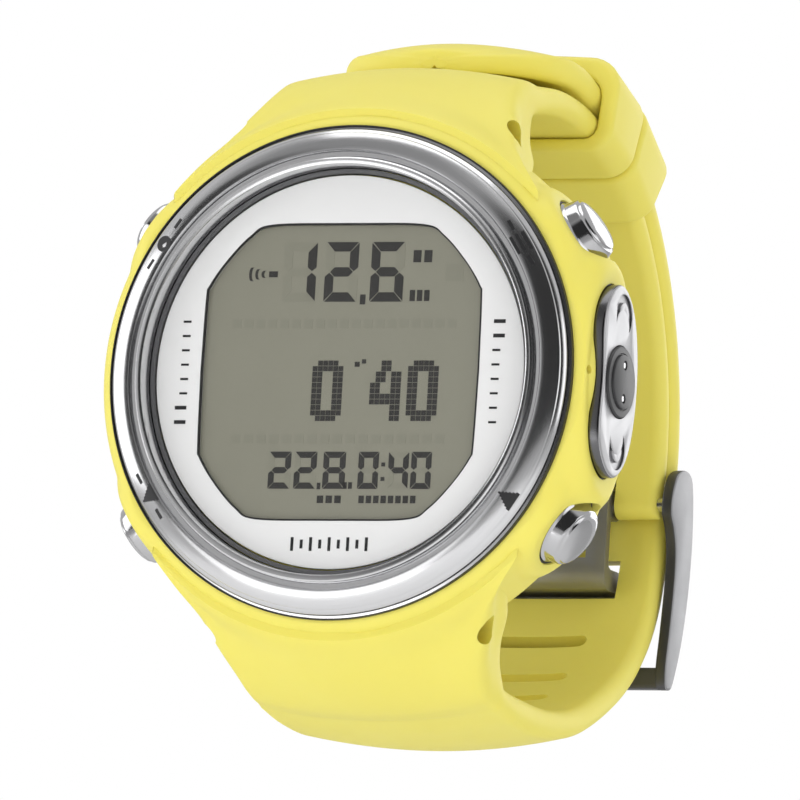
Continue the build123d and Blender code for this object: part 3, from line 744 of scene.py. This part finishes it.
def display():
    panel = slab("display_panel", window_outline(0.5), LCD_FACE, 2.3, "depth")
    dressed(panel, DISPLAY_GREY, "watch", ["lcd_panel"])
    rows = [
        ([("1", -6.2), ("2", -2.15), ("6", 2.3)], 6.4, 3.2, 5.4, 0.85),
        ([("2", -6.5), ("2", -4.0), ("8", -1.2)], -10.5, 2.15, 3.35, 0.56),
        ([("0", 2.2), ("4", 5.1), ("0", 7.3)], -10.5, 1.95, 3.35, 0.54),
    ]
    lit, ghosts = [], []
    for row in rows:
        on, off = digit_row(*row)
        lit += on
        ghosts += off
    points = [(1.66, 6.6, 0.26, 0.45), (1.5, 0.75, 0.24, 0.22), (2.15, 1.0, 0.2, 0.2),
              (-1.55, -10.25, 0.17, 0.3), (4.6, -9.6, 0.18, 0.18), (4.6, -8.3, 0.18, 0.18)]
    lit += [bar_outline(*point) for point in points]
    for char, x in (("0", -2.8), ("4", 2.85), ("0", 6.45)):
        lit += dot_digit(char, x, -4.4, 0.5)
    lit += signal_sign(-9.3, 8.9)
    lit += small_blocks(6.2, 8.3, 10.5, 2, 0.55) + small_blocks(6.1, 8.2, 6.95, 3, 0.5)
    lit += small_blocks(0.75, 1.75, -10.2, 2, 0.3)
    lit += small_blocks(-1.75, 0.8, -11.45, 3, 0.34) + small_blocks(2.3, 8.0, -11.45, 8, 0.34)
    shown = joined("display_digits", [plate_of(o, LCD_FACE - 0.03, LCD_FACE + 0.05) for o in lit])
    dressed(shown, SEGMENT_DARK, "watch")
    ghosts += small_blocks(-11.0, 11.0, 4.4, 19, 0.42) + small_blocks(-10.5, 10.5, -6.0, 17, 0.42)
    ghosts += small_blocks(9.2, 11.6, 9.0, 1, 0.8)
    faint = joined("display_ghosts", [plate_of(o, LCD_FACE - 0.02, LCD_FACE + 0.05) for o in ghosts])
    dressed(faint, GHOST_GREY, "watch")


# ---- buttons -------------------------------------------------------------------------------------
def button(name, angle):
    profile = [
        (0.02, 15.7), (1.2, 15.7), (1.2, 23.55), (3.2, 23.55), (3.36, 23.7), (3.38, 24.1), (3.34, 24.22),
        (3.2, 24.32), (3.12, 24.42), (2.86, 25.3), (2.82, 25.4), (2.76, 25.48), (2.62, 25.54), (2.54, 25.62),
        (2.46, 25.76), (2.2, 25.9), (1.5, 26.02), (0.7, 26.08), (0.02, 26.1),
    ]
    cap = axis_turned("button_cap_" + name, angle, profile, 96)
    dressed(cap, BUTTON_STEEL, name + "_button", ["button_" + name], 22.0)
    # Painted shade: black ring round the foot of each cap, standing in for the shadow on the buttons.
    section = [(3.42, 23.0), (3.6, 23.0), (3.6, 24.1), (3.42, 24.1)]
    painted_shade_ring = axis_turned("button_painted_shade_ring_" + name, angle, section, 72)
    dressed(painted_shade_ring, SEAL_BLACK_AND_PAINTED_SHADOW, "watch")


# ---- contact pod ---------------------------------------------------------------------------------
def contact_pod():
    plate = slab("pod_plate", pod_outline(-0.02), 22.6, 24.55)
    plate = edge_rounded(plate, 0.28, 3, 60.0)
    cuts = [round_bar("seat", (23.2, POD_DEPTH, 0), (26, POD_DEPTH, 0), 3.28, 72)]
    for sign in (1, -1):
        ring = crescent(sign)
        cuts.append(slab("crescent", ring, 24.3, 25.5))
    cut(plate, cuts)
    plate = edge_rounded(plate, 0.07, 2, 60.0)
    dressed(plate, POD_STEEL, "watch", ["contact_plate"])
    # Painted shade on the plate's edge and cut faces.
    painted_shade_sides(plate, POD_PAINTED_SHADE, 0.5)
    for sign in (1, -1):
        curl = slab("pod_curl_" + ("top" if sign > 0 else "bottom"), curl_outline(sign), 24.2, 24.52)
        dressed(edge_rounded(curl, 0.08, 2, 60.0), POD_STEEL, "watch")
    # Painted shadow: black sheet filling the gap round the contact plate in its pocket.
    shadow_gap_sheet = slab("pod_shadow_gap", pod_outline(0.1), 22.42, 23.35)
    dressed(shadow_gap_sheet, SEAL_BLACK_AND_PAINTED_SHADOW, "watch")


def crescent(sign):
    outer = [(6.3 + 1.9 * cos(t), 5.9 + 2.0 * sin(t)) for t in (k * pi / 12 - 0.5 for k in range(13))]
    inner = [(6.2 + 1.55 * cos(t), 5.0 + 1.5 * sin(t)) for t in (k * pi / 12 - 0.2 for k in range(12, -1, -1))]
    return [(d, sign * z) for d, z in outer + inner]


def curl_outline(sign):
    outer = [(6.5 + 1.15 * cos(t), 5.9 + 1.3 * sin(t)) for t in (k * pi / 10 for k in range(11))]
    inner = [(6.4 + 0.6 * cos(t), 5.7 + 0.7 * sin(t)) for t in (k * pi / 10 for k in range(10, -1, -1))]
    return [(d, sign * z) for d, z in outer + inner]


def x_turned(name, depth, z, profile, steps=72):
    """Closed (radius, x) profile turned round an axis along X."""
    rings = []
    for k in range(steps):
        t = 2 * pi * k / steps
        rings.append([(x, depth + r * cos(t), z + r * sin(t)) for r, x in profile])
    return lofted(name, rings, wrap=True)


TIP_Z = 1.5


def contact_face():
    profile = [(0.02, 23.0), (3.2, 23.0), (3.2, 24.62), (3.1, 24.75), (2.6, 24.8), (2.52, 24.72), (2.46, 24.72),
               (2.42, 24.95), (2.3, 25.0), (0.02, 25.0)]
    face = x_turned("contact_face", POD_DEPTH, 0.0, profile, 96)
    holes = []
    for z in (TIP_Z, -TIP_Z):
        holes.append(round_bar("hole", (24.0, POD_DEPTH, z), (26.0, POD_DEPTH, z), 0.44))
    cut(face, holes)
    dressed(face, CONTACT_BLACK, "watch", ["contact_disc"])
    pins = []
    tip = [(0.02, 23.9), (0.38, 23.9), (0.38, 24.8), (0.25, 24.93), (0.02, 24.95)]
    for s in (1, -1):
        pins.append(x_turned("pin", POD_DEPTH, s * TIP_Z, tip, 32))
    dressed(joined("contact_tips", pins), PIN_STEEL, "watch", ["contact_pins"])


# ---- strap ---------------------------------------------------------------------------------------
ACROSS = 19                  # points across the flat of a strap section
CORNER = 5                   # points round each quarter of its edge


def strap_ring(side, crest, under, edge, bow_out, bow_in, curl, low_edge):
    """Section of the strap, with side = (x, depth, z) of its right edge and crest and under = (depth, z) on its
    middle line. The bows say how far the faces fall towards the edges; curl 1 bends the top round the case."""
    w, e_d, e_z = side
    span = w - edge
    low_span = w - low_edge

    def spot(x, share, target, reach=None):
        """Point at this share of the way from the edge line to the middle line."""
        z = e_z + (target[1] - e_z) * share
        if curl > 0:
            radius = abs(target[1])
            around = sqrt(max(radius ** 2 - min(abs(x), span) ** 2, 0.0))
            around = abs(e_z) + (around - abs(e_z)) * (1.0 if reach is None else reach)
            z = z * (1 - curl) + curl * (around if e_z > 0 else -around)
        return x, e_d + (target[0] - e_d) * share, z

    def face(x, target, bow, half):
        return spot(x, 1 - bow * (x / half) ** 2, target)

    def corner(target, bow, half, rounding, order):
        turns = [pi / 2 * k / CORNER for k in order]
        return [spot(half + rounding * cos(t), (1 - bow) * sin(t), target, sin(t)) for t in turns]

    upper = [face(span * (2 * k / (ACROSS - 1) - 1), crest, bow_out, span) for k in range(ACROSS)]
    lower = [face(low_span * (1 - 2 * k / (ACROSS - 1)), under, bow_in, low_span) for k in range(ACROSS)]
    right = corner(crest, bow_out, span, edge, range(CORNER - 1, -1, -1))
    right += corner(under, bow_in, low_span, low_edge, range(1, CORNER))
    return upper + right + lower + [(-x, d, z) for x, d, z in right[::-1]]


def loop_point(radius, degrees):
    """(depth, z) on a circle about the loop centre; 0 is straight back, 90 is the top."""
    a = radians(degrees)
    return LOOP_DEPTH + radius * cos(a), radius * sin(a)


def behind(points):
    """(depth, z) corners from ones drawn behind the loop centre."""
    return [(LOOP_DEPTH + d, z) for d, z in points]


EDGE_ROUND = 1.1
INNER_CREST, INNER_UNDER, INNER_BOW = 2.05, 1.25, 0.39
OUTER_CREST, OUTER_UNDER, OUTER_BOW, OUTER_HOLLOW = 2.4, 0.5, 0.458, -1.6
TAIL_LIFT, LIFT_START, LIFT_RUN = 0.8, 74, 12


def inner_layer(degrees, thin=1.0):
    mid = loop_point(A_MID, degrees)
    crest = loop_point(A_MID + INNER_CREST * thin, degrees)
    under = loop_point(A_MID - INNER_UNDER * thin, degrees)
    return [HALF_W, *mid, *crest, *under, EDGE_ROUND, INNER_BOW, 0.0, 0.0, EDGE_ROUND]


def outer_layer(degrees, half=HALF_W, thin=1.0):
    """Station of the outer layer; past the keepers it lifts a little off the layer below."""
    middle = B_MID + TAIL_LIFT * ease((degrees - LIFT_START) / LIFT_RUN)
    mid = loop_point(middle, degrees)
    crest = loop_point(middle + OUTER_CREST * thin, degrees)
    under = loop_point(middle - OUTER_UNDER * thin, degrees)
    return [half, *mid, *crest, *under, EDGE_ROUND, OUTER_BOW, OUTER_HOLLOW, 0.0, EDGE_ROUND]


def ring_from(station, flip=1):
    w, e_d, e_z, c_d, c_z, u_d, u_z, edge, bow_out, bow_in, curl, low_edge = station
    side, crest, under = (w, e_d, flip * e_z), (c_d, flip * c_z), (u_d, flip * u_z)
    return strap_ring(side, crest, under, edge, bow_out, bow_in, max(curl, 0.0), low_edge)


# edge x, depth, z; crest depth, z; underside depth, z; edge rounding; outer bow; inner bow; curl round
# the case; rounding under the edge
ROOT_STATIONS = [
    [17.7, 1.25, 16.2, 1.25, 24.08, 1.7, 22.3, 0.35, 0.9, 0.0, 1.0, 0.3],
    [16.3, 2.1, 17.3, 1.9, 24.6, 4.0, 21.4, 1.1, 0.8, 0.0, 0.9, 0.4],
    [14.9, 3.9, 18.8, 3.7, 25.8, 7.4, 20.4, 2.5, 0.56, 0.0, 0.35, 0.6],
    [13.9, 6.0, 20.5, 6.2, 27.35, 10.2, 20.9, 2.4, 0.38, 0.0, 0.1, 0.7],
    [12.8, 8.1, 22.7, 9.0, 28.7, 12.0, 22.4, 1.9, 0.29, 0.0, 0.0, 0.8],
    [12.3, 10.0, 24.7, 11.2, 29.4, 13.0, 24.2, 1.5, 0.28, 0.0, 0.0, 0.9],
    [12.1, 11.9, 26.1, 13.2, 29.6, 14.0, 25.4, 1.3, 0.31, 0.0, 0.0, 1.0],
]


def strap_root(end_station):
    return smooth_line([tuple(s) for s in ROOT_STATIONS + [end_station]], 7)


LUG_HOLE_R = 1.28


def lug_holes():
    """End of the case, start and end of each hole at the lug pins' ends; they open a little to the front."""
    holes = []
    for side in (1, -1):
        for sign in (1, -1):
            z = sign * (PIN_Z - 0.2)
            holes.append((sign, (side * 9.0, PIN_DEPTH - 0.6, z), (side * 21.0, PIN_DEPTH - 5.0, z)))
    return holes


ROOT_END, PIN_END, END_ROUND = 101.0, -10.2, 2.7      # degrees round the loop


def upper_strap():
    stations = strap_root(inner_layer(ROOT_END))
    steps = 72
    for k in range(1, steps + 1):
        stations.append(tuple(inner_layer(ROOT_END + (PIN_END - ROOT_END) * k / steps)))
    for k in range(1, 7):
        t = radians(15 * k)
        stations.append(tuple(inner_layer(PIN_END - END_ROUND * sin(t), max(cos(t), 0.06))))
    strap = lofted("strap_short_half", [ring_from(s) for s in stations])
    notch = TONGUE_HALF + 0.3
    low, high = BUCKLE_PIN_Z - 3, BUCKLE_PIN_Z + 2.2
    box = [(BUCKLE_PIN_DEPTH - 4, low), (BUCKLE_PIN_DEPTH + 4, low), (BUCKLE_PIN_DEPTH + 4, high),
           (BUCKLE_PIN_DEPTH - 4, high)]
    cutters = [slab("notch", box, -notch, notch)]
    cutters += [round_bar("lug_hole", a, b, LUG_HOLE_R, 40) for sign, a, b in lug_holes() if sign > 0]
    cut(strap, cutters, folded=True)
    dressed(strap, STRAP_YELLOW, "watch", ["strap_upper"], 45.0)


LOWER_PATH = [(-7.4, -27.5), (-3.16, -28.2), (2.67, -28.4), (9.3, -27.5), (15.1, -25.5), (21.5, -22.0),
              (25.5, -18.2), (27.7, -14.6), (28.8, -11.0), (29.7, -6.4), (30.24, -2.6), (30.35, 0.0)]


def path_stations():
    line = smooth_line([(LOOP_DEPTH + d, z) for d, z in LOWER_PATH], 9)
    stations = []
    for k, (d, z) in enumerate(line):
        before, after = line[max(k - 1, 0)], line[min(k + 1, len(line) - 1)]
        step = Vector((after[0] - before[0], after[1] - before[1])).normalized()
        out = Vector((step.y, -step.x))
        share = ease(k / 26)
        top, low = INNER_CREST + 0.35 * share, -INNER_UNDER + 0.75 * share
        station = [HALF_W, d, z, d + out.x * top, z + out.y * top, d + out.x * low, z + out.y * low,
                   EDGE_ROUND, INNER_BOW + 0.068 * share, OUTER_HOLLOW * share, 0.0, EDGE_ROUND]
        stations.append(tuple(station))
    return stations


def lug_pins():
    profile = [(0.02, -11.0), (0.5, -11.0), (0.55, -10.6), (0.85, -10.45), (0.9, -10.3), (0.9, 10.3),
               (0.85, 10.45), (0.55, 10.6), (0.5, 11.0), (0.02, 11.0)]
    for name, sign in (("upper", 1), ("lower", -1)):
        pin = x_turned("lug_bar_" + name, PIN_DEPTH, sign * PIN_Z, profile, 40)
        dressed(pin, PIN_STEEL, "watch", ["lug_pin_" + name])


TIP_START, TIP_END = 76.0, 97.0      # degrees round the loop


def lower_strap():
    lower = path_stations()
    first = list(lower[0])
    for k in (2, 4, 6):
        first[k] = -first[k]
    stations = [tuple(s) for s in strap_root(first)]
    rings = [ring_from(s, -1) for s in stations]
    rings += [ring_from(s) for s in lower[1:]]
    for k in range(1, 60):
        rings.append(ring_from(outer_layer(TIP_START * k / 59)))
    for k in range(1, 21):
        t = k / 20
        degrees = TIP_START + (TIP_END - TIP_START) * sin(t * pi / 2)
        shrink = (1 - sin(t * pi / 2) ** 2.6) ** (1 / 2.2)
        thin = max(0.3, min(1.0 - 0.5 * ease((t - 0.3) / 0.7), 2.2 * shrink))
        rings.append(ring_from(outer_layer(degrees, max(HALF_W * shrink, 1.3), thin)))
    strap = lofted("strap_long_half", rings)
    cutters = [slot_cutter(*spot) for spot in slot_places()]
    reach = TONGUE_HALF + 0.4
    opened = [(24.4, -13.5), (33.0, -13.5), (33.0, -9.9), (24.4, -9.9)]
    cutters.append(slab("slot", behind(opened), -reach, reach))
    cutters += [round_bar("lug_hole", a, b, LUG_HOLE_R, 40) for sign, a, b in lug_holes() if sign < 0]
    cut(strap, cutters, folded=True)
    dressed(strap, STRAP_YELLOW, "watch", ["strap_lower"], 45.0)


def slot_places():
    """Depth, z and lean of each slot that is not in use."""
    drawn = [(25.2, -18.0, 42.0), (21.2, -22.1, 48.0), (16.8, -24.8, 60.0), (12.0, -26.7, 68.0),
             (29.9, -5.2, 6.0)]
    out = [(LOOP_DEPTH + d, z, lean) for d, z, lean in drawn]
    for degrees in (2.0, 12.5, 23.0, 33.5):
        out.append((*loop_point(B_MID, degrees), -degrees))
    return out


SLOT_HALF_W, SLOT_HALF_H = 6.3, 0.75


def slot_cutter(depth, z, lean):
    """Wide slot with round ends through the strap."""
    flat = SLOT_HALF_W - SLOT_HALF_H
    turns = [k * pi / 8 - pi / 2 for k in range(9)]
    outline = [(flat + SLOT_HALF_H * cos(t), SLOT_HALF_H * sin(t)) for t in turns]
    outline += [(-x, -q) for x, q in outline]
    a = radians(lean)
    through = Vector((cos(a), -sin(a)))
    up = Vector((sin(a), cos(a)))
    rings = []
    for reach in (-4.5, 4.5):
        d_at, z_at = depth + through.x * reach, z + through.y * reach
        rings.append([(x, d_at + up.x * q, z_at + up.y * q) for x, q in outline])
    return lofted("slot", rings)


# ---- keepers -------------------------------------------------------------------------------------
KEEPER_SPANS = {"fixed": (50.2, 63.6), "free": (63.9, 77.3)}
KEEPER_LOW, KEEPER_TOP = 25.08, 34.42
KEEPER_HALF = 13.67
KEEPER_SOFT = 0.75           # rounding of the front and back edges
HOLLOW_SOFT = 0.35


def band_outline(half_w, low, high, top_corner, low_corner, crown):
    """Rounded rectangle in (x, radius) with a crowned top, and the outward direction at each of its points."""
    points = []

    def arc(cx, cy, radius, start):
        for k in range(9):
            t = radians(start + 90 * k / 8)
            points.append((cx + radius * cos(t), cy + radius * sin(t), cos(t), sin(t)))

    arc(half_w - top_corner, high - top_corner, top_corner, 0)
    for k in range(1, 12):
        u = 1 - k / 6
        points.append((u * (half_w - top_corner), high + crown * (1 - u * u), 0.0, 1.0))
    arc(-half_w + top_corner, high - top_corner, top_corner, 90)
    arc(-half_w + low_corner, low + low_corner, low_corner, 180)
    arc(half_w - low_corner, low + low_corner, low_corner, 270)
    return points


def keeper(name, body, node):
    """Soft-edged moulded band round both strap layers."""
    start, end = KEEPER_SPANS[name]
    outer = band_outline(KEEPER_HALF, KEEPER_LOW, KEEPER_TOP, 3.3, 2.4, 0.3)
    inner = band_outline(HALF_W + 0.12, 26.28, 32.6, 2.6, 1.2, 0.27)
    turns = [k * pi / 10 for k in range(6)]
    rings = []
    for (ox, orad, nx, nr), (ix, irad, mx, mr) in zip(outer, inner):
        loop = []
        for t in turns:
            inset, run = KEEPER_SOFT * (1 - sin(t)), degrees_of(KEEPER_SOFT * (1 - cos(t)))
            loop.append((ox - nx * inset, orad - nr * inset, start + run))
        loop += [(x, r, start + end - deg) for x, r, deg in reversed(loop)]
        hollow = []
        for t in turns[::2]:
            inset, run = HOLLOW_SOFT * (1 - sin(t)), degrees_of(HOLLOW_SOFT * (1 - cos(t)))
            hollow.append((ix + mx * inset, irad + mr * inset, start + run))
        loop += [(x, r, start + end - deg) for x, r, deg in hollow] + hollow[::-1]
        rings.append([on_loop(*p) for p in loop])
    band = lofted("keeper_" + name, rings, wrap=True)
    dressed(band, KEEPER_YELLOW, body, [node], 50.0)


def degrees_of(length):
    """Angle of a short length on the keeper."""
    return length / KEEPER_TOP * 180 / pi


def on_loop(x, radius, degrees):
    depth, z = loop_point(radius, degrees)
    return x, depth, z


# ---- buckle --------------------------------------------------------------------------------------
CHEEK = [(26.35, -3.3), (27.2, -2.0), (29, -1.4), (30.55, -1.9), (31.25, -4.2), (31.53, -8.5), (31.15, -13.0),
         (30.3, -17.0), (29.3, -19.8), (28.4, -21.6), (27.7, -21.85), (26.9, -21.7), (26.65, -19.8),
         (27.15, -16.5), (27.65, -12.0), (27.6, -9.0), (26.9, -7.0), (26.1, -5.9), (25.95, -4.6)]
CHEEK_IN, CHEEK_OUT = 12.45, 13.55


def buckle_frame():
    cheeks = []
    for side in (1, -1):
        low, high = sorted((side * CHEEK_IN, side * CHEEK_OUT))
        cheek = slab("cheek", smooth_line(behind(CHEEK), 4, closed=True), low, high)
        cheeks.append(edge_rounded(cheek, 0.22, 3, 60.0))
    section = [(26.85, -19.9), (27.9, -19.8), (28.35, -20.2), (28.5, -21.3), (28.1, -21.85), (26.9, -21.85)]
    bar = slab("bar", behind(section), -CHEEK_IN - 0.3, CHEEK_IN + 0.3)
    bar = edge_rounded(bar, 0.14, 2, 25.0)
    frame_piece = cut(cheeks[0], [cheeks[1], bar], "UNION")
    dressed(frame_piece, BUCKLE_STEEL, "buckle", ["buckle_frame"], 40.0)
    # Painted shade on the frame's inner, edge and bar faces.
    painted_shade_sides(frame_piece, BUCKLE_PAINTED_SHADE)
    reach = CHEEK_OUT - 0.08
    profile = [(0.02, -reach), (0.62, -reach), (0.75, -reach + 0.13), (0.75, reach - 0.13), (0.62, reach),
               (0.02, reach)]
    pin = x_turned("buckle_bar", BUCKLE_PIN_DEPTH, BUCKLE_PIN_Z, profile, 40)
    dressed(pin, PIN_STEEL, "watch", ["buckle_pin"])


def tongue():
    side = [(25.15, -5.2), (25.15, -11.3), (25.35, -12.2), (25.9, -12.8), (26.7, -12.9), (30.6, -12.9),
            (30, -16.5), (28.85, -19.6), (28.75, -21.4), (29.15, -21.6), (29.55, -21.5), (29.9, -19.8),
            (31, -16.8), (31.7, -12.6), (31.6, -11.6), (31.3, -11.05), (30.8, -10.92), (26.8, -10.9),
            (26.3, -10.7), (26.15, -10.3), (26.15, -5.2)]
    plate = slab("tongue_plate", behind(side), -TONGUE_HALF, TONGUE_HALF)
    root = behind([(25.15, -6.2), (27.2, -6.2), (27.2, -3.7), (25.6, -3.7), (25.15, -4.2)])
    ends = [(x, BUCKLE_PIN_DEPTH, BUCKLE_PIN_Z) for x in (-TONGUE_HALF, TONGUE_HALF)]
    eye = round_bar("eye", *ends, 1.5, 40)
    cut(plate, [slab("root", root, -TONGUE_HALF, TONGUE_HALF), eye], "UNION")
    window = slab("window", behind([(23.9, -10.0), (26.55, -10.0), (26.55, -6.6), (23.9, -6.6)]), -5.6, 5.6)
    bore = round_bar("bore", *[(x, BUCKLE_PIN_DEPTH, BUCKLE_PIN_Z) for x in (-9, 9)], 0.79, 40)
    beside = behind([(28.7, -22.5), (32.9, -22.5), (32.9, -14.6), (28.7, -14.6)])
    sides = [slab("side", beside, *limits) for limits in ((4.2, 9.0), (-9.0, -4.2))]
    cut(plate, [window, bore] + sides)
    plate = edge_rounded(plate, 0.16, 2, 40.0)
    dressed(plate, BUCKLE_STEEL, "tongue", ["buckle_tongue"], 40.0)


# ---- back ----------------------------------------------------------------------------------------
def screw_places():
    """x and z of the four case back screws."""
    turns = [radians(45 + 90 * k) for k in range(4)]
    return [(17.2 * cos(a) * 0.985, 17.2 * sin(a) * 0.985) for a in turns]


def screw_head(x, z):
    section = [(0.02, 12.6), (0.7, 12.6), (0.7, 13.35), (1.05, 13.35), (1.05, 13.72), (0.95, 13.8),
               (0.02, 13.8)]
    turns = [2 * pi * k / 32 for k in range(32)]
    head = lofted("head", [[(x + r * cos(t), d, z + r * sin(t)) for r, d in section] for t in turns], wrap=True)
    return cut(head, [slab("drive", bar_outline(x, z, 0.8, 0.14), 13.6, 14.5, "depth")])


def case_back():
    profile = [(13.45, 12.1), (18.35, 12.1), (18.38, 13.68), (18.3, 13.86), (18.1, 13.96), (17.9, 14.0),
               (14.2, 14.0), (14.05, 13.93), (13.95, 13.8), (13.6, 13.8), (13.5, 13.9), (13.45, 14.0)]
    plate = turned("back_plate", profile, 240)
    cuts = [round_bar("seat", (x, 13.3, z), (x, 15, z), 1.12, 36) for x, z in screw_places()]
    for x in (-1.2, 0.0, 1.2):
        cuts.append(round_bar("port", (x, 13.0, 15.3), (x, 15, 15.3), 0.4, 24))
    cut(plate, cuts)
    dressed(edge_rounded(plate, 0.06, 2, 50.0), BACK_STEEL, "watch", ["case_back"], 30.0)
    section = [(0.02, 12.3), (13.36, 12.3), (13.36, 13.82), (13.22, 13.96), (12.9, 14.0), (12.2, 14.0),
               (12.05, 13.9), (11.7, 13.9), (11.55, 14.0), (0.02, 14.0)]
    lid = turned("battery_lid", section, 200)
    wells = [round_bar("spanner", (x, 13.1, 0), (x, 15, 0), 0.9, 32) for x in (-8.5, 8.5)]
    cut(lid, wells)
    dressed(lid, COVER_BLACK, "watch", ["battery_cover"], 30.0)
    heads = [screw_head(x, z) for x, z in screw_places()]
    dressed(joined("back_screw_heads", heads), PIN_STEEL, "watch", ["case_back_screws"], 30.0)


# ---- carried-over inner nodes --------------------------------------------------------------------
INNER_FINISHES = {
    "crystal_gasket": SEAL_GREY, "backlight": LIGHT_GUIDE, "circuit_board": BOARD_GREEN,
    "board_chips": CONTACT_BLACK, "battery": PIN_STEEL, "battery_contact": SPRING_BRASS,
    "pressure_sensor": PIN_STEEL, "buzzer": CONTACT_BLACK,
    "case_back_gasket": SEAL_BLACK_AND_PAINTED_SHADOW, "battery_cover_oring": SEAL_BLACK_AND_PAINTED_SHADOW,
}


def finish_inner_nodes():
    finishes = dict(INNER_FINISHES)
    for name in BUTTONS:
        finishes["button_seal_" + name] = SEAL_BLACK_AND_PAINTED_SHADOW
        finishes["button_clip_" + name] = PIN_STEEL
        finishes["button_spring_" + name] = SPRING_BRASS
    for node, material in finishes.items():
        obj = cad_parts[node]
        if not obj.data.materials:
            obj.data.materials.append(material)
        for index in range(len(obj.material_slots)):
            obj.material_slots[index].material = material


# ---- studio --------------------------------------------------------------------------------------
def studio_floor():
    half = 2.5
    mesh = bpy.data.meshes.new("studio_floor")
    z = -0.46
    corners = [(-half, -half, z), (half, -half, z), (half, half, z), (-half, half, z)]
    mesh.from_pydata(corners, [], [(0, 1, 2, 3)])
    floor = bpy.data.objects.new("studio_floor", mesh)
    bpy.context.scene.collection.objects.link(floor)
    mesh.materials.append(finish("floor_pale", GRAIN, (0.9, 0.9, 0.9), (0.87, 0.87, 0.87),
                                 grain_values(40.0, 0.2, 0.6, 0.8), 0.02, 0.0001))


def soft_light(name, place_at, size, power, shines=True):
    """Square softbox aimed at the object; one that doesn't shine stays out of the polished metal."""
    data = bpy.data.lights.new(name, "AREA")
    data.shape = "RECTANGLE"
    data.size = size
    data.size_y = size
    data.energy = power
    light = bpy.data.objects.new(name, data)
    light.location = place_at
    light.rotation_euler = (-Vector(place_at)).to_track_quat("-Z", "Y").to_euler()
    light.visible_glossy = shines
    bpy.context.scene.collection.objects.link(light)


def dark_card(tree, facing, start, end, low, high):
    """Brightness ramp towards one direction of the sky."""
    coords = tree.nodes.new("ShaderNodeTexCoord").outputs["Generated"]
    dot = tree.nodes.new("ShaderNodeVectorMath")
    dot.operation = "DOT_PRODUCT"
    dot.inputs[1].default_value = Vector(facing).normalized()
    tree.links.new(coords, dot.inputs[0])
    ramp = tree.nodes.new("ShaderNodeValToRGB")
    ramp.color_ramp.elements[0].position = start
    ramp.color_ramp.elements[0].color = (low, low, low, 1)
    ramp.color_ramp.elements[1].position = end
    ramp.color_ramp.elements[1].color = (high, high, high, 1)
    tree.links.new(dot.outputs["Value"], ramp.inputs[0])
    return ramp.outputs[0]


def studio_sky():
    """White to the eye; the object sees a soft grey room with dark cards at the right front and left."""
    world = bpy.data.worlds.new("studio_sky")
    bpy.context.scene.world = world
    world.use_nodes = True
    tree = world.node_tree
    tree.nodes.clear()
    out = tree.nodes.new("ShaderNodeOutputWorld")
    seen = tree.nodes.new("ShaderNodeBackground")
    seen.inputs["Color"].default_value = (1, 1, 1, 1)
    cast = tree.nodes.new("ShaderNodeBackground")
    right_card = dark_card(tree, (0.62, -0.77, 0.12), 0.66, 0.78, 0.8, 0.05)
    left_card = dark_card(tree, (-0.76, -0.60, 0.16), 0.88, 0.93, 1.0, 0.07)
    top_card = dark_card(tree, (-0.36, -0.58, 0.73), 0.80, 0.96, 1.0, 0.5)
    both = maths(tree, "MULTIPLY", right_card, left_card)
    tree.links.new(maths(tree, "MULTIPLY", both, top_card), cast.inputs["Strength"])
    mix = tree.nodes.new("ShaderNodeMixShader")
    tree.links.new(tree.nodes.new("ShaderNodeLightPath").outputs["Is Camera Ray"], mix.inputs[0])
    tree.links.new(cast.outputs[0], mix.inputs[1])
    tree.links.new(seen.outputs[0], mix.inputs[2])
    tree.links.new(mix.outputs[0], out.inputs[0])


def studio_lights():
    soft_light("left_box", (-1.05, -0.28, 0.15), 0.7, 3.0)
    soft_light("top_box", (-0.1, 0.0, 1.0), 0.8, 3.2)
    soft_light("low_box", (-0.35, -0.75, -0.40), 0.6, 1.4)
    soft_light("right_box", (0.95, -0.05, 0.15), 0.6, 1.2)
    soft_light("back_box", (0.3, 0.9, 0.3), 0.7, 2.2)
    soft_light("left_fill", (-0.65, -0.85, 0.35), 0.9, 2.1, shines=False)
    soft_light("front_fill", (0.1, -1.1, 0.05), 0.9, 3.8, shines=False)
    soft_light("right_fill", (0.8, -0.7, 0.05), 0.9, 3.2, shines=False)


def studio_camera():
    """Long lens from the right, a little below the middle, rolled a few degrees."""
    right = Vector((10.33, 4.28, 0.654)).normalized()
    up = Vector((0.0, -0.151, 0.988))
    up = (up - right * up.dot(right)).normalized()
    back = right.cross(up)
    distance = 1.6
    view_width = 0.07143
    target = place(0, 0, 0) + right * 5.42 * MM - up * 2.52 * MM
    data = bpy.data.cameras.new("studio_camera")
    data.lens = data.sensor_width * distance / view_width
    data.clip_start, data.clip_end = 0.05, 20.0
    camera = bpy.data.objects.new("studio_camera", data)
    turn = Matrix((right, up, back)).transposed().to_4x4()
    camera.matrix_world = Matrix.Translation(target + back * distance) @ turn
    bpy.context.scene.collection.objects.link(camera)
    bpy.context.scene.camera = camera


case_shell()
bezel()
bezel_seam()
bezel_marks()
crystal()
dial()
tick_marks()
foot_scale()
display()
for button_name, button_angle in BUTTONS.items():
    button(button_name, button_angle)
contact_pod()
contact_face()
upper_strap()
lower_strap()
lug_pins()
keeper("fixed", "watch", "keeper_fixed")
keeper("free", "loose_keeper", "keeper_free")
buckle_frame()
tongue()
case_back()
finish_inner_nodes()
studio_floor()
studio_sky()
studio_lights()
studio_camera()
bpy.context.scene.view_settings.view_transform = "Standard"
